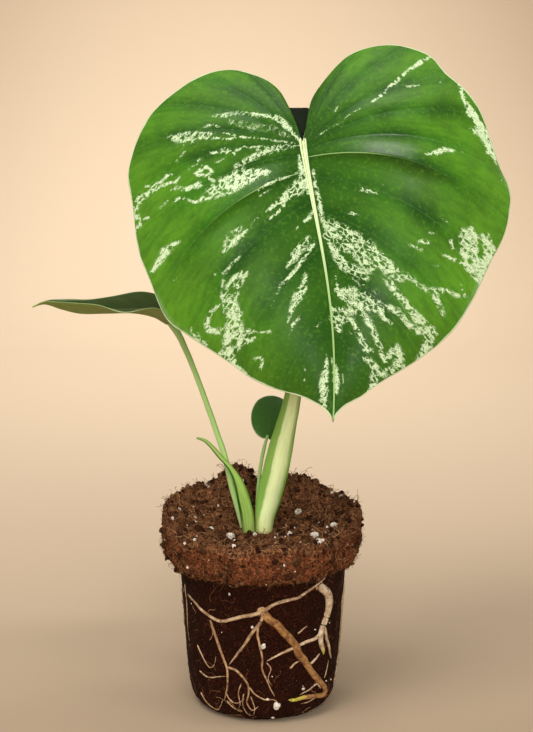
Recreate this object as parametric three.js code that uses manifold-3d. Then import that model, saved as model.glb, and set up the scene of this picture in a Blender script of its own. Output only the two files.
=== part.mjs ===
// A young variegated monstera with its bare root ball, as it looks just lifted from a nursery pot.
// Millimetres, +Z up. The origin is on the ground, in the middle of the root ball's flat bottom.
// The big leaf faces -Y, and the left leaf points to -X.

import * as THREE from 'three';
import { mergeVertices } from 'three/addons/utils/BufferGeometryUtils.js';
import Module from 'manifold-3d';

const wasm = await Module();
wasm.setup();

// Driving dimensions

const GAP = 0.3;                    // clearance between pieces that touch
const BOTTOM_RADIUS = 33;           // flat of the root ball on the ground
const COLLAR_RADIUS = 60.3;         // crumbly fold where the pot's rim was
const COLLAR_SHIFT = 1.3;           // the collar stands out further on the left
const SOIL_LEVEL = 107;             // soil at the foot of the stems
const FRONT_RIM = 7;                // height of the rim over that level, at the front
const SIDE_RIM = 17.5;              // and at the sides and the back
const SOIL_SIDES = 48;              // facets round the root ball
const CROWN_TOP = 97;               // top of the buried stem, where the petioles stand
const CROWN_CENTRE = new THREE.Vector2(-3, 2);
const LEAF_LENGTH = 161;            // main leaf, from the notch to the drip tip
const LEAF_TILT = THREE.MathUtils.degToRad(20);
const LEAF_ROLL = THREE.MathUtils.degToRad(5.9);
const LEAF_NOTCH = new THREE.Vector3(23.1, -20, 343.9);
const LEFT_NOTCH = new THREE.Vector3(-57.5, 45, 228.6);
const LEFT_TIP = new THREE.Vector3(-143.5, 45, 239.4);
const SMALL_NOTCH = new THREE.Vector3(3, 24.4, 160);
const SMALL_TIP = new THREE.Vector3(8.7, 40, 184.4);

// Small tools: seeded numbers, closed bodies and joins

function roughness(a, b) {
  const wave = Math.sin(a * 127.1 + b * 311.7) * 43758.5453;
  return 2 * (wave - Math.floor(wave)) - 1;
}

function hump(distance, width) {
  return Math.exp(-((distance / width) ** 2));
}

function bodyFrom(positions, triangles) {
  const geometry = new THREE.BufferGeometry();
  geometry.setAttribute('position', new THREE.Float32BufferAttribute(positions, 3));
  geometry.setIndex(triangles);
  return geometry;
}

function bareShape(geometry) {
  const bare = new THREE.BufferGeometry();
  bare.setAttribute('position', geometry.attributes.position);
  bare.setIndex(geometry.index);
  return mergeVertices(bare, 1e-3);
}

function solidOf(geometry) {
  const merged = bareShape(geometry);
  const kept = [];
  const index = merged.index.array;
  for (let i = 0; i < index.length; i += 3) {
    const [a, b, c] = [index[i], index[i + 1], index[i + 2]];
    if (a !== b && b !== c && c !== a) {
      kept.push(a, b, c);
    }
  }
  return new wasm.Manifold(new wasm.Mesh({
    numProp: 3,
    vertProperties: new Float32Array(merged.attributes.position.array),
    triVerts: new Uint32Array(kept),
  }));
}

function largestBody(solid) {
  const bodies = solid.decompose();
  return bodies.reduce((best, body) => (body.volume() > best.volume() ? body : best));
}

function joined(solids) {
  return solids.reduce((whole, solid) => whole.add(solid));
}

// A closed body through rings of points, each ring joined to the next and a fan over both ends
function loft(rings) {
  const sides = rings[0].length;
  const positions = [];
  const triangles = [];
  for (const ring of rings) {
    for (const point of ring) {
      positions.push(point.x, point.y, point.z);
    }
  }
  for (let i = 0; i < rings.length - 1; i += 1) {
    for (let k = 0; k < sides; k += 1) {
      const next = (k + 1) % sides;
      const [a, b] = [i * sides + k, i * sides + next];
      const [c, d] = [a + sides, b + sides];
      triangles.push(a, b, d, a, d, c);
    }
  }
  const lastRing = (rings.length - 1) * sides;
  for (const [ring, offset, flip] of [[rings[0], 0, true], [rings.at(-1), lastRing, false]]) {
    const centre = new THREE.Vector3();
    ring.forEach((point) => centre.addScaledVector(point, 1 / sides));
    const middle = positions.length / 3;
    positions.push(centre.x, centre.y, centre.z);
    for (let k = 0; k < sides; k += 1) {
      const next = (k + 1) % sides;
      const [a, b] = flip ? [offset + next, offset + k] : [offset + k, offset + next];
      triangles.push(a, b, middle);
    }
  }
  return bodyFrom(positions, triangles);
}

// A stem: stations are [x, y, z, then the section's own sizes], and the section gives its outline
// as [right, back] pairs. Right is level, and back points away from the front of the plant.
function stem(stations, section, stepsPerSpan, grow = 0) {
  const smooth = (points) => new THREE.CatmullRomCurve3(points, false, 'catmullrom');
  const centre = smooth(stations.map(([x, y, z]) => new THREE.Vector3(x, y, z)));
  const sizes = smooth(stations.map(([, , , a, b = 0, c = 0]) => new THREE.Vector3(a, b, c)));
  const steps = (stations.length - 1) * stepsPerSpan;
  const rings = [];
  for (let i = 0; i <= steps; i += 1) {
    const t = i / steps;
    const ahead = centre.getTangent(t);
    const right = new THREE.Vector3(1, 0, 0).addScaledVector(ahead, -ahead.x).normalize();
    const back = new THREE.Vector3().crossVectors(ahead, right);
    const point = centre.getPoint(t);
    if (i === 0) {
      point.addScaledVector(ahead, -grow);
    }
    if (i === steps) {
      point.addScaledVector(ahead, grow);
    }
    rings.push(section(sizes.getPoint(t), grow).map(([x, y]) => (
      point.clone().addScaledVector(right, x).addScaledVector(back, y)
    )));
  }
  return loft(rings);
}

function roundSection(sides) {
  return (size, grow) => Array.from({ length: sides }, (_, k) => {
    const angle = 2 * Math.PI * (k + 0.5) / sides;
    return [(size.x + grow) * Math.cos(angle), (size.x + grow) * Math.sin(angle)];
  });
}

// Leaves: a blade is a grid of veins. Along the margin s runs from the notch round the lobe to the
// tip, and along a vein r runs from the midrib to the margin. Both faces share one triangulation.

function leafFrame(notch, along, facing) {
  const across = new THREE.Vector3().crossVectors(facing, along).normalize();
  const normal = new THREE.Vector3().crossVectors(along, across);
  return { notch, along, across, normal };
}

function veinPoint(leaf, side, s, r) {
  const margin = leaf.margins[side > 0 ? 1 : 0].getPointAt(s);
  const down = Math.max(0, (s - leaf.fanShare) / (1 - leaf.fanShare));
  const u0 = leaf.fanStart + (leaf.length - leaf.fanStart) * down ** leaf.veinSpread;
  const v0 = leaf.sway * Math.sin(Math.PI * (u0 / leaf.length) ** 1.35);
  const du = margin.x - u0;
  const dv = side * margin.y - v0;
  const bow = leaf.veinBow * Math.sin(Math.PI * s) * 4 * r * (1 - r);
  const u = u0 + du * r - bow * Math.abs(dv);
  const v = v0 + dv * r + bow * du * side;
  return { u, v, chord: Math.hypot(du, dv) };
}

function blade(leaf, grow = 0) {
  const { notch, along, across, normal } = leaf.frame;
  const { columns, rows } = leaf;
  const positions = [];
  const triangles = [];
  const place = (u, v, lift) => {
    const point = notch.clone().addScaledVector(along, u).addScaledVector(across, v);
    point.addScaledVector(normal, lift);
    positions.push(point.x, point.y, point.z);
  };
  for (const side of [-1, 1]) {
    const start = positions.length / 3;
    for (const under of [false, true]) {
      for (let i = 0; i <= columns; i += 1) {
        for (let j = 0; j <= rows; j += 1) {
          const s = i / columns;
          const r = (j / rows) ** 1.4;
          const spot = veinPoint(leaf, side, s, r);
          const lift = leaf.lift({ ...spot, side, s, r });
          const fade = Math.max(0, 1 - spot.u / leaf.length);
          const rib = leaf.ribDepth * fade * hump(r * spot.chord, leaf.ribWidth);
          place(spot.u, spot.v, under ? lift - leaf.thickness - rib - grow : lift + grow);
        }
      }
    }
    const at = (i, j, under) => start + (under ? (columns + 1) * (rows + 1) : 0) + i * (rows + 1) + j;
    const quad = (a, b, c, d, flip) => {
      if (flip) {
        triangles.push(a, c, b, a, d, c);
      } else {
        triangles.push(a, b, c, a, c, d);
      }
    };
    for (let i = 0; i < columns; i += 1) {
      for (let j = 0; j < rows; j += 1) {
        quad(at(i, j), at(i + 1, j), at(i + 1, j + 1), at(i, j + 1), side < 0);
        quad(at(i, j, true), at(i + 1, j, true), at(i + 1, j + 1, true), at(i, j + 1, true), side > 0);
      }
      quad(at(i, rows), at(i + 1, rows), at(i + 1, rows, true), at(i, rows, true), side < 0);
    }
  }
  return bodyFrom(positions, triangles);
}

function margin(points) {
  return new THREE.SplineCurve(points.map(([u, v]) => new THREE.Vector2(u, v)));
}

// Main leaf blade: a tilted heart, with a valley along its midrib and domed halves

const leafDown = new THREE.Vector3(0, -Math.sin(LEAF_TILT), -Math.cos(LEAF_TILT));
const leafAlong = leafDown.multiplyScalar(Math.cos(LEAF_ROLL)).setX(Math.sin(LEAF_ROLL));
const leafFacing = new THREE.Vector3(0, -Math.cos(LEAF_TILT), Math.sin(LEAF_TILT));

const mainLeaf = {
  frame: leafFrame(LEAF_NOTCH, leafAlong, leafFacing),
  length: LEAF_LENGTH,
  margins: [
    margin([[0, 0], [-9, 3], [-21, 6], [-31, 9], [-39, 15], [-45, 24], [-49.5, 36], [-48.5, 50],
      [-43, 63], [-32, 80], [-24, 88], [-14, 94], [-2, 99], [10, 102], [25, 101], [52, 100], [71, 95],
      [93, 88], [104, 77], [114, 65], [125, 52], [133, 43], [140, 31], [146, 17], [151, 8.5],
      [156, 3.2], [LEAF_LENGTH, 0]]),
    margin([[0, 0], [-9, 3], [-17, 5], [-27, 9], [-37, 17], [-46, 26], [-52, 35], [-55, 47], [-55, 61],
      [-50, 75], [-44, 82], [-34, 88], [-22, 98], [-9, 105], [8, 109], [24, 112], [40, 116], [56, 113],
      [68, 108], [80, 100], [93, 92], [105, 84], [118, 73], [129, 57], [136, 44], [143, 29], [150, 17],
      [154, 8], [158, 2.5], [LEAF_LENGTH, 0]]),
  ],
  fanStart: 5,
  fanShare: 0.46,
  veinSpread: 2.4,
  veinBow: 0.1,
  sway: 5.5,
  thickness: 0.9,
  ribDepth: 3.2,
  ribWidth: 3.2,
  columns: 40,
  rows: 8,
  lift({ u, chord, side, s, r }) {
    const dome = chord * (0.32 * r - 0.38 * r * r);
    const droop = 8 * (Math.max(0, u) / 175) ** 2 + 5 * (Math.max(0, -u) / 60) ** 2;
    const wave = 1.3 * r ** 4 * Math.sin(2 * Math.PI * 5.5 * s + side) * Math.sin(Math.PI * s);
    const pucker = 0.6 * Math.sin(Math.PI * r) * Math.cos(2 * Math.PI * 8 * s);
    const crease = 1.6 * hump(s - (side > 0 ? 0.49 : 0.45), 0.03) * r * (1 - r) * 4;
    return dome - droop + wave + pucker - crease;
  },
};

// Left leaf blade: nearly level, folded along its midrib, with a drip tip that curls down

const leftAlong = LEFT_TIP.clone().sub(LEFT_NOTCH);
const LEFT_LENGTH = leftAlong.length();
const LEFT_HALF = [[0, 0], [-9, 3.5], [-17, 11], [-21, 22], [-18, 32], [-8, 39.5], [6, 42.5], [22, 42],
  [38, 37], [52, 28.5], [65, 17], [74, 8.5], [81, 2.6], [LEFT_LENGTH, 0]];
const leftArch = new THREE.SplineCurve([[-25, -7], [0, 0], [11, 4.2], [24, 5], [40, 2.6], [56, 0.3], [68, 1.2],
  [79, 3], [LEFT_LENGTH, 0]].map(([u, lift]) => new THREE.Vector2(u, lift)));

function archLift(u) {
  const share = THREE.MathUtils.clamp((u + 25) / (LEFT_LENGTH + 25), 0, 1);
  let low = 0;
  let high = 1;
  for (let i = 0; i < 24; i += 1) {
    const middle = (low + high) / 2;
    if (leftArch.getPoint(middle).x < share * (LEFT_LENGTH + 25) - 25) {
      low = middle;
    } else {
      high = middle;
    }
  }
  return leftArch.getPoint(low).y;
}

const leftLeaf = {
  frame: leafFrame(LEFT_NOTCH, leftAlong.normalize(), new THREE.Vector3(0, 0, 1)),
  length: LEFT_LENGTH,
  margins: [margin(LEFT_HALF), margin(LEFT_HALF)],
  fanStart: 3,
  fanShare: 0.4,
  veinSpread: 1.8,
  veinBow: 0.08,
  sway: 0,
  thickness: 0.8,
  ribDepth: 1.2,
  ribWidth: 2,
  columns: 22,
  rows: 5,
  lift({ u, v, side, s, r }) {
    const slope = side > 0 ? 0.3 : 0.21;
    const fold = Math.abs(v) * (slope - 0.06 * r);
    const wave = 0.7 * r ** 3 * Math.sin(2 * Math.PI * 3 * s + 2 * side) * Math.sin(Math.PI * s);
    return archLift(u) + fold + wave;
  },
};

// Small leaf blade: the youngest one, nearly round, standing behind the main petiole

const smallAlong = SMALL_TIP.clone().sub(SMALL_NOTCH);
const SMALL_LENGTH = smallAlong.length();
const SMALL_HALF = [[0, 0], [-1, 3], [0.5, 7], [5, 10.6], [11, 12.2], [17, 11.4], [23, 8.2], [27, 3.8],
  [SMALL_LENGTH, 0]];

const smallLeaf = {
  frame: leafFrame(SMALL_NOTCH, smallAlong.normalize(), new THREE.Vector3(0, -1, 0)),
  length: SMALL_LENGTH,
  margins: [margin(SMALL_HALF), margin(SMALL_HALF)],
  fanStart: 1.5,
  fanShare: 0.3,
  veinSpread: 1.6,
  veinBow: 0.08,
  sway: 0,
  thickness: 0.8,
  ribDepth: 0.5,
  ribWidth: 1.2,
  columns: 16,
  rows: 4,
  lift({ u, chord, r }) {
    return chord * (0.3 * r - 0.2 * r * r) - 3 * (u / SMALL_LENGTH) ** 2;
  },
};

// Petioles. The main one has sheath wings low down, and bends over behind the notch of its blade.

const MAIN_STATIONS = [
  [-0.4, 1, CROWN_TOP, 5.0, 0, 0], [0.3, 1, 107, 4.8, 0.3, 0.8], [1.2, 1, 117, 4.8, 1.2, 1.8],
  [4.2, 1, 128, 4.7, 3.2, 2.6], [7.6, 0, 143, 4.7, 5.0, 3.2], [10.8, 0, 158, 4.7, 5.8, 2.8],
  [13.6, 0, 170, 4.8, 3.6, 1.6], [16.4, 0, 182, 5.0, 1.2, 0.6], [19, 1, 195, 4.9, 0.3, 0],
  [23.5, 4, 219, 4.7], [27, 9, 247, 4.6], [28, 13.5, 276, 4.6], [26.5, 16.8, 304, 4.7],
  [23.6, 17.4, 326, 5.1], [21.4, 15, 342, 5.8], [20.5, 9.4, 352.6, 6.2], [20.4, 1.4, 356.6, 6.2],
  [21.7, -7, 352.6, 5.7], [22.8, -12.8, 345.6, 4.9], [23.5, -16.7, 337.8, 3.8], [24.2, -20.4, 329, 2.2],
];

// One half of its outline: a half circle, and how far each point moves out and back for the wing
const HALF_CIRCLE = [[0.26, -0.97], [0.71, -0.71], [0.97, -0.26], [0.97, 0.26], [0.71, 0.71], [0.26, 0.97]];
const WING_OUT = [0, 0, 0.75, 1, 0.25, 0];
const WING_BACK = [0, 0, 0.5, 0.45, 0.15, 0];

function wingedSection(size, grow) {
  const half = (side, wing) => HALF_CIRCLE.map(([x, y], k) => [
    side * (x * (size.x + grow) + WING_OUT[k] * Math.max(0, wing)),
    y * (size.x + grow) + WING_BACK[k] * Math.max(0, wing),
  ]);
  return [...half(1, size.z), ...half(-1, size.y).reverse()];
}

const LEFT_STATIONS = [
  [-9, 1.6, CROWN_TOP, 2.1], [-11.2, 3, 107, 2.1], [-14.8, 6, 119, 2.0], [-18.2, 10, 130, 1.9],
  [-21.3, 14.6, 142, 1.8], [-24.4, 19, 153, 1.8], [-28.4, 23.2, 164, 1.7], [-32.2, 27, 174, 1.7],
  [-36.2, 30.4, 184.6, 1.7], [-41.2, 34.4, 197.4, 1.7], [-47, 38.6, 211, 1.8], [-52.2, 42.2, 221.5, 2.1],
  [-56.6, 44.4, 226.2, 2.2], [-61.5, 45, 228.4, 1.5],
];

const SMALL_STATIONS = [
  [-3.4, 9, CROWN_TOP, 1.3], [-3.4, 9.4, 108, 1.3], [-3.2, 10.6, 122, 1.2], [-2.2, 13.4, 136, 1.1],
  [-0.9, 17, 146, 1.1], [1, 21, 154.6, 1.1], [3.1, 24.8, 161.5, 0.9],
];

// Sheath at the foot of the left petiole: a curled strip with a free, hooked tip.
// Its sizes are half width, depth of the curl and thickness.

const SHEATH_STATIONS = [
  [-8.2, -4.2, CROWN_TOP, 3.6, 2.4, 1.5], [-8.5, -4.3, 108, 3.9, 2.6, 1.5],
  [-9.7, -4.2, 119.6, 4.3, 2.6, 1.4], [-11.9, -3.4, 129.4, 4.0, 2.4, 1.3],
  [-14.2, -2, 137.2, 3.1, 2.0, 1.2], [-17.2, 0.8, 143, 2.2, 1.5, 1.1], [-20.6, 4, 147.2, 1.6, 1.1, 1],
  [-25.4, 7, 151.6, 1.5, 1.0, 1], [-30.3, 10, 156.8, 1.4, 1.0, 1], [-35.2, 12, 161, 1.1, 0.9, 0.9],
  [-40.4, 13, 162.6, 0.6, 0.7, 0.8],
];

function curledSection(size, grow) {
  const spread = 1 + 0.4 * grow;
  const angles = [-75, -38, 0, 38, 75].map((degrees) => THREE.MathUtils.degToRad(degrees * spread));
  const arc = (inset) => angles.map((angle) => [
    (size.x + inset) * Math.sin(angle), size.y / 2 - (size.y + inset) * Math.cos(angle),
  ]);
  const outer = arc(grow);
  const inner = angles.map((angle) => [
    (size.x - 0.4 * size.z - grow) * Math.sin(angle),
    size.y / 2 - (size.y - size.z - grow) * Math.cos(angle) + 0.3 * grow,
  ]);
  return [...outer, ...inner.reverse()];
}

// Root ball: heights of the soil, its wall and the body

const WALL = [[0, BOTTOM_RADIUS], [2, 38.5], [6, 42.3], [12, 44.5], [20, 45.7], [32, 46.6], [44, 47.4],
  [56, 48.2], [68, 49], [79, 49.9], [88, 51]];

function wallRadius(z) {
  const above = Math.max(1, WALL.findIndex(([height]) => height >= z));
  const [z0, r0] = WALL[above - 1];
  const [z1, r1] = WALL[above];
  return r0 + (r1 - r0) * (z - z0) / (z1 - z0);
}

function wallPoint(degrees, z, out) {
  const angle = THREE.MathUtils.degToRad(degrees);
  const radius = wallRadius(z) + out;
  return new THREE.Vector3(radius * Math.sin(angle), -radius * Math.cos(angle), z);
}

// The top is a bowl with a low front rim, high sides, and two mounds at the back
function soilHeight(x, y) {
  const reach = Math.hypot(x, y);
  const rise = FRONT_RIM + (SIDE_RIM - FRONT_RIM) * THREE.MathUtils.smoothstep(y, -48, 5);
  const bowl = rise * (reach / COLLAR_RADIUS) ** 2.6;
  const inside = 1 - 0.75 * THREE.MathUtils.smoothstep(reach, 50, 62);
  const leftMound = 20.5 * hump(Math.hypot((x + 17) / 16, (y - 44) / 22), 1);
  const rightMound = 13 * hump(Math.hypot((x - 23) / 15, (y - 44) / 22), 1);
  return SOIL_LEVEL + bowl + inside * (leftMound + rightMound);
}

function soilBody() {
  const rings = [];
  const ring = (radiusAt, heightAt) => {
    const level = rings.length;
    rings.push(Array.from({ length: SOIL_SIDES }, (_, k) => {
      const angle = 2 * Math.PI * k / SOIL_SIDES;
      const radius = radiusAt(angle, roughness(level, k));
      const [x, y] = [radius * Math.cos(angle), radius * Math.sin(angle)];
      return new THREE.Vector3(x, y, heightAt(x, y, roughness(k, level + 50)));
    }));
  };
  const collar = (angle) => (
    COLLAR_RADIUS - COLLAR_SHIFT * Math.cos(angle) + 0.9 * Math.sin(3 * angle + 1)
  );
  for (const [z, radius] of WALL) {
    const rough = z > 0 ? 0.35 : 0;
    ring((angle, noise) => radius + rough * noise, () => z);
  }
  ring((angle, noise) => collar(angle) - 5.5 + noise, (x, y, noise) => 90.5 + 1.8 * noise);
  ring((angle, noise) => collar(angle) - 2 + noise, (x, y, noise) => 95 + 1.5 * noise);
  ring((angle, noise) => collar(angle) - 0.6 + 0.8 * noise, (x, y, noise) => 101 + noise);
  ring((angle, noise) => collar(angle) + 0.8 * noise, (x, y, noise) => 107 + noise);
  ring((angle, noise) => collar(angle) - 1 + noise, (x, y, noise) => soilHeight(x, y) - 1.5 + noise);
  for (const share of [0.93, 0.83, 0.73, 0.63, 0.53, 0.43, 0.33, 0.23, 0.12]) {
    ring((angle, noise) => share * (collar(angle) + noise), (x, y, noise) => soilHeight(x, y) + 1.3 * noise);
  }
  return loft(rings);
}

// Roots: the buried stem with the roots that grow from it, through the soil and down the wall.
// A root is a list of [degrees round the wall, height] from where it comes out. 0 degrees is the
// front, and positive degrees go to the right.

const FRONT_EXIT = [0, 72];
const SIDE_EXIT = [42, 84];
const ROOTS = [
  { radius: 1.15, path: [FRONT_EXIT, [-11, 70], [-20, 67], [-31, 64], [-42, 66], [-53, 68], [-66, 68]] },
  { radius: 0.95, path: [[-32, 64], [-35, 57], [-32, 49], [-27, 37], [-27, 28], [-29, 18]] },
  { radius: 1.1, path: [FRONT_EXIT, [-2, 65], [-7, 59], [-12, 52], [-18, 46], [-24, 38]] },
  { radius: 2.4, path: [FRONT_EXIT, [7, 66], [13, 61], [19, 55], [25, 47], [32, 39], [40, 30], [48, 22],
    [54, 15], [50, 11.5], [41, 12.5], [30, 15], [20, 16]] },
  { radius: 1.05, path: [FRONT_EXIT, [7, 76], [15, 78], [23, 78], [30, 80], [41, 82], [53, 84]] },
  { radius: 2.1, path: [SIDE_EXIT, [49, 78], [53, 70], [51, 62], [47, 55], [48, 47], [53, 39]] },
  { radius: 1, path: [[48, 56], [54, 50], [59, 42], [62, 33]] },
  { radius: 1.1, path: [[49, 52], [40, 50], [32, 50], [22, 50], [12, 48], [2, 45]] },
  { radius: 0.8, path: [[-1, 66], [-3, 56], [-2, 47], [0, 38], [4, 28], [9, 18]] },
  { radius: 0.85, path: [[-27, 34], [-19, 34], [-13, 31], [-9, 26], [-9, 17]] },
];

// Round the back the roots wander down the wall by one rule, each with its own width and drift
const BACK_ROOTS = 7;
for (let i = 0; i < BACK_ROOTS; i += 1) {
  const exit = 92 + i * 30 + 6 * roughness(i, 3);
  const top = 74 + 8 * roughness(i, 5);
  const drift = 26 * roughness(i, 9);
  const path = Array.from({ length: 7 }, (_, k) => [
    exit + drift * k / 6 + 7 * roughness(i, 20 + k),
    top - (top - 14) * k / 6,
  ]);
  ROOTS.push({ radius: 1.3 + 0.5 * roughness(i, 11), path, own: true });
}

function rootTube(points, radius, grow) {
  const sides = 5;
  const curve = new THREE.CatmullRomCurve3(points, false, 'centripetal');
  const steps = Math.max(3, Math.round(curve.getLength() / 8));
  const frames = curve.computeFrenetFrames(steps, false);
  const rings = [];
  for (let i = 0; i <= steps; i += 1) {
    const t = i / steps;
    const taper = radius * (1 - 0.62 * t ** 2) * (1 + 0.1 * roughness(i, radius)) + grow;
    const point = curve.getPointAt(t);
    if (i === steps) {
      point.addScaledVector(frames.tangents[i], grow);
    }
    rings.push(Array.from({ length: sides }, (_, k) => {
      const angle = 2 * Math.PI * k / sides;
      return point.clone()
        .addScaledVector(frames.normals[i], taper * Math.cos(angle))
        .addScaledVector(frames.binormals[i], taper * Math.sin(angle));
    }));
  }
  return solidOf(loft(rings));
}

function crown(grow) {
  const profile = [[0, 52 - grow], [4, 53 - grow], [8 + grow, 60], [9 + grow, 72], [8.6 + grow, 84],
    [11.6 + grow, 92], [11.6 + grow, CROWN_TOP + grow], [0, CROWN_TOP + grow]];
  const stock = new THREE.LatheGeometry(profile.map(([r, z]) => new THREE.Vector2(r, z)), 16);
  stock.rotateX(Math.PI / 2).translate(CROWN_CENTRE.x, CROWN_CENTRE.y, 0);
  return solidOf(stock);
}

function rootstock(grow = 0) {
  const parts = [crown(grow)];
  const feeder = (exit, radius) => {
    const out = wallPoint(exit[0], exit[1], 0);
    const inner = new THREE.Vector3(CROWN_CENTRE.x, CROWN_CENTRE.y, exit[1] + 6);
    const middle = inner.clone().lerp(out, 0.6).setZ(exit[1] + 3);
    parts.push(rootTube([inner, middle, out], radius, grow));
  };
  feeder(FRONT_EXIT, 3.4);
  feeder(SIDE_EXIT, 3);
  for (const { radius, path, own } of ROOTS) {
    if (own) {
      feeder(path[0], radius * 1.4);
    }
    const points = path.map(([degrees, z], k) => wallPoint(degrees, z, (k === 0 ? -1.2 : 0.1) * radius));
    parts.push(rootTube(points, radius, grow));
  }
  return joined(parts);
}

// Perlite: the larger grains, as [x, y, size] on top and [degrees, height, size] on the wall

const PERLITE_ON_TOP = [[-19, -20, 5.2], [31, -27, 5.6], [33, -44, 4.2], [-31, -9, 3.8], [11, -10, 3.8],
  [16.5, -12, 3.6], [43, -12, 3.8], [-46, -21, 3.4], [-12, 24, 3.6], [22, 20, 4]];
const PERLITE_ON_WALL = [[0.5, 50.5, 3.4], [11, 12, 4.6]];

function perliteGrain(centre, size, seed, grow = 0) {
  const stone = bareShape(new THREE.OctahedronGeometry(1, 1));
  const position = stone.attributes.position;
  for (let i = 0; i < position.count; i += 1) {
    const point = new THREE.Vector3().fromBufferAttribute(position, i);
    const bump = size / 2 * (1 + 0.14 * roughness(i, seed)) + grow;
    point.multiplyScalar(bump);
    position.setXYZ(i, centre.x + 1.15 * point.x, centre.y + 0.9 * point.y, centre.z + 0.85 * point.z);
  }
  return solidOf(stone);
}

const grains = [
  ...PERLITE_ON_TOP.map(([x, y, size]) => ({ centre: new THREE.Vector3(x, y, soilHeight(x, y) + 0.5), size })),
  ...PERLITE_ON_WALL.map(([degrees, z, size]) => ({ centre: wallPoint(degrees, z, 0), size })),
];

// Pieces, each cut clear of the neighbour that it rests on

const mainBlade = solidOf(blade(mainLeaf));
const leftBlade = solidOf(blade(leftLeaf));
const smallBlade = solidOf(blade(smallLeaf));

const petioleOf = (grow) => solidOf(stem(MAIN_STATIONS, wingedSection, 2, grow));
const leftPetioleOf = (grow) => solidOf(stem(LEFT_STATIONS, roundSection(8), 2, grow));
const smallPetioleOf = (grow) => solidOf(stem(SMALL_STATIONS, roundSection(6), 2, grow));
const sheathOf = (grow) => solidOf(stem(SHEATH_STATIONS, curledSection, 2, grow));

const clearOf = (solid, ...others) => largestBody(others.reduce((rest, other) => rest.subtract(other), solid));
const mainPetiole = clearOf(petioleOf(0), crown(GAP), solidOf(blade(mainLeaf, GAP)));
const leftPetiole = clearOf(leftPetioleOf(0), crown(GAP), solidOf(blade(leftLeaf, GAP)));
const smallPetiole = clearOf(smallPetioleOf(0), crown(GAP), solidOf(blade(smallLeaf, GAP)));
const leftSheath = clearOf(sheathOf(0), crown(GAP), petioleOf(GAP), leftPetioleOf(GAP));

const roots = rootstock();
const hollows = joined([
  rootstock(GAP), petioleOf(GAP), leftPetioleOf(GAP), smallPetioleOf(GAP), sheathOf(GAP),
  ...grains.map(({ centre, size }, i) => perliteGrain(centre, size, i, GAP)),
]);
const soil = largestBody(solidOf(soilBody()).subtract(hollows));

// The plant, one named piece for each body

const plant = new THREE.Group();

function addPiece(name, solid, color, rough) {
  const { vertProperties, triVerts } = solid.getMesh();
  const geometry = bodyFrom(vertProperties, Array.from(triVerts));
  const material = new THREE.MeshStandardMaterial({ color, roughness: rough, metalness: 0 });
  const piece = new THREE.Mesh(geometry, material);
  piece.name = name;
  plant.add(piece);
}

addPiece('soil_plug', soil, 0x4a2a1a, 0.95);
addPiece('rootstock', roots, 0xb08a5c, 0.8);
addPiece('main_petiole', mainPetiole, 0xa8c86a, 0.45);
addPiece('main_leaf_blade', mainBlade, 0x3f7d22, 0.35);
addPiece('left_petiole', leftPetiole, 0xa2c888, 0.45);
addPiece('left_leaf_blade', leftBlade, 0x3f5a2c, 0.4);
addPiece('left_sheath', leftSheath, 0x5f9038, 0.5);
addPiece('small_petiole', smallPetiole, 0x4a6a34, 0.5);
addPiece('small_leaf_blade', smallBlade, 0x28461e, 0.4);
grains.forEach(({ centre, size }, i) => {
  addPiece(`perlite_${String(i + 1).padStart(2, '0')}`, perliteGrain(centre, size, i), 0xe8dccb, 0.9);
});

export default plant;
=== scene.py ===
# %% [markdown]
# # A young variegated monstera with its bare root ball
#
# The plant was lifted out of its nursery pot, so the moulded root ball stands by itself. This
# lesson dresses a measured model of it: every piece is built where the measured solid is, only
# finer, and gets a finish of its own. Lengths are in millimetres until a mesh is made, because
# leaves and roots are easy to think of in millimetres. Blender itself works in metres.

import bmesh
import bpy
import numpy as np
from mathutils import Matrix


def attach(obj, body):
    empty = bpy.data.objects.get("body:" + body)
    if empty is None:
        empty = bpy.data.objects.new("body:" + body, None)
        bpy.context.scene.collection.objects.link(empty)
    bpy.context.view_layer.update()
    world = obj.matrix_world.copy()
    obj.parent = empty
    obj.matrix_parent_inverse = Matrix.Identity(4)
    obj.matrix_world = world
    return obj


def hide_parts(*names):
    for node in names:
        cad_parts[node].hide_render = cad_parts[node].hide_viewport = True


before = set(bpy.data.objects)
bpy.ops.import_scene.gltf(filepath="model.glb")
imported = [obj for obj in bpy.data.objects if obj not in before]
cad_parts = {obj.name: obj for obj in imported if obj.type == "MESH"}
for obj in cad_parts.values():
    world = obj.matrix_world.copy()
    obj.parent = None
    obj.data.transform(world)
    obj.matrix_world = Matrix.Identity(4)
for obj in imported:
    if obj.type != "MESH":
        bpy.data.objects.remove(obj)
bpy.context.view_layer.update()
MM = 0.001

# %% [markdown]
# ## The camera
#
# The camera comes first, because every later choice is judged through it. It looks slightly
# down on the plant from a metre away, so the bowl of soil shows and the big leaf faces us.
# Its angle could be found by trying. Here it was worked out from the flattened circles of
# the root ball, which say how far the view is tilted.

# %% Set the camera
CAMERA_PLACE = (0.0024, -0.98511, 0.38142)
CAMERA_PITCH = 80.1
LENS = 81.97


def new_object(name, data):
    made = bpy.data.objects.new(name, data)
    bpy.context.scene.collection.objects.link(made)
    return made


camera_data = bpy.data.cameras.new("camera")
camera_data.lens = LENS
camera_data.sensor_width = 36
camera = new_object("camera", camera_data)
camera.location = CAMERA_PLACE
camera.rotation_euler = (np.radians(CAMERA_PITCH), 0, 0)
bpy.context.scene.camera = camera
print("camera at", CAMERA_PLACE, "pitched", CAMERA_PITCH - 90, "degrees")

# %% [markdown]
# ## Numbers that look random
#
# Soil, bark and leaves are irregular, but the scene has to come out the same in every run.
# A hash of whole-number cells gives each cell its own value, and blending the eight nearest
# cells gives smooth noise at any size. Blender has noise of its own for one point at a time.
# This one works on a whole mesh at once, which is what makes fine soil quick to build.

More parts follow.
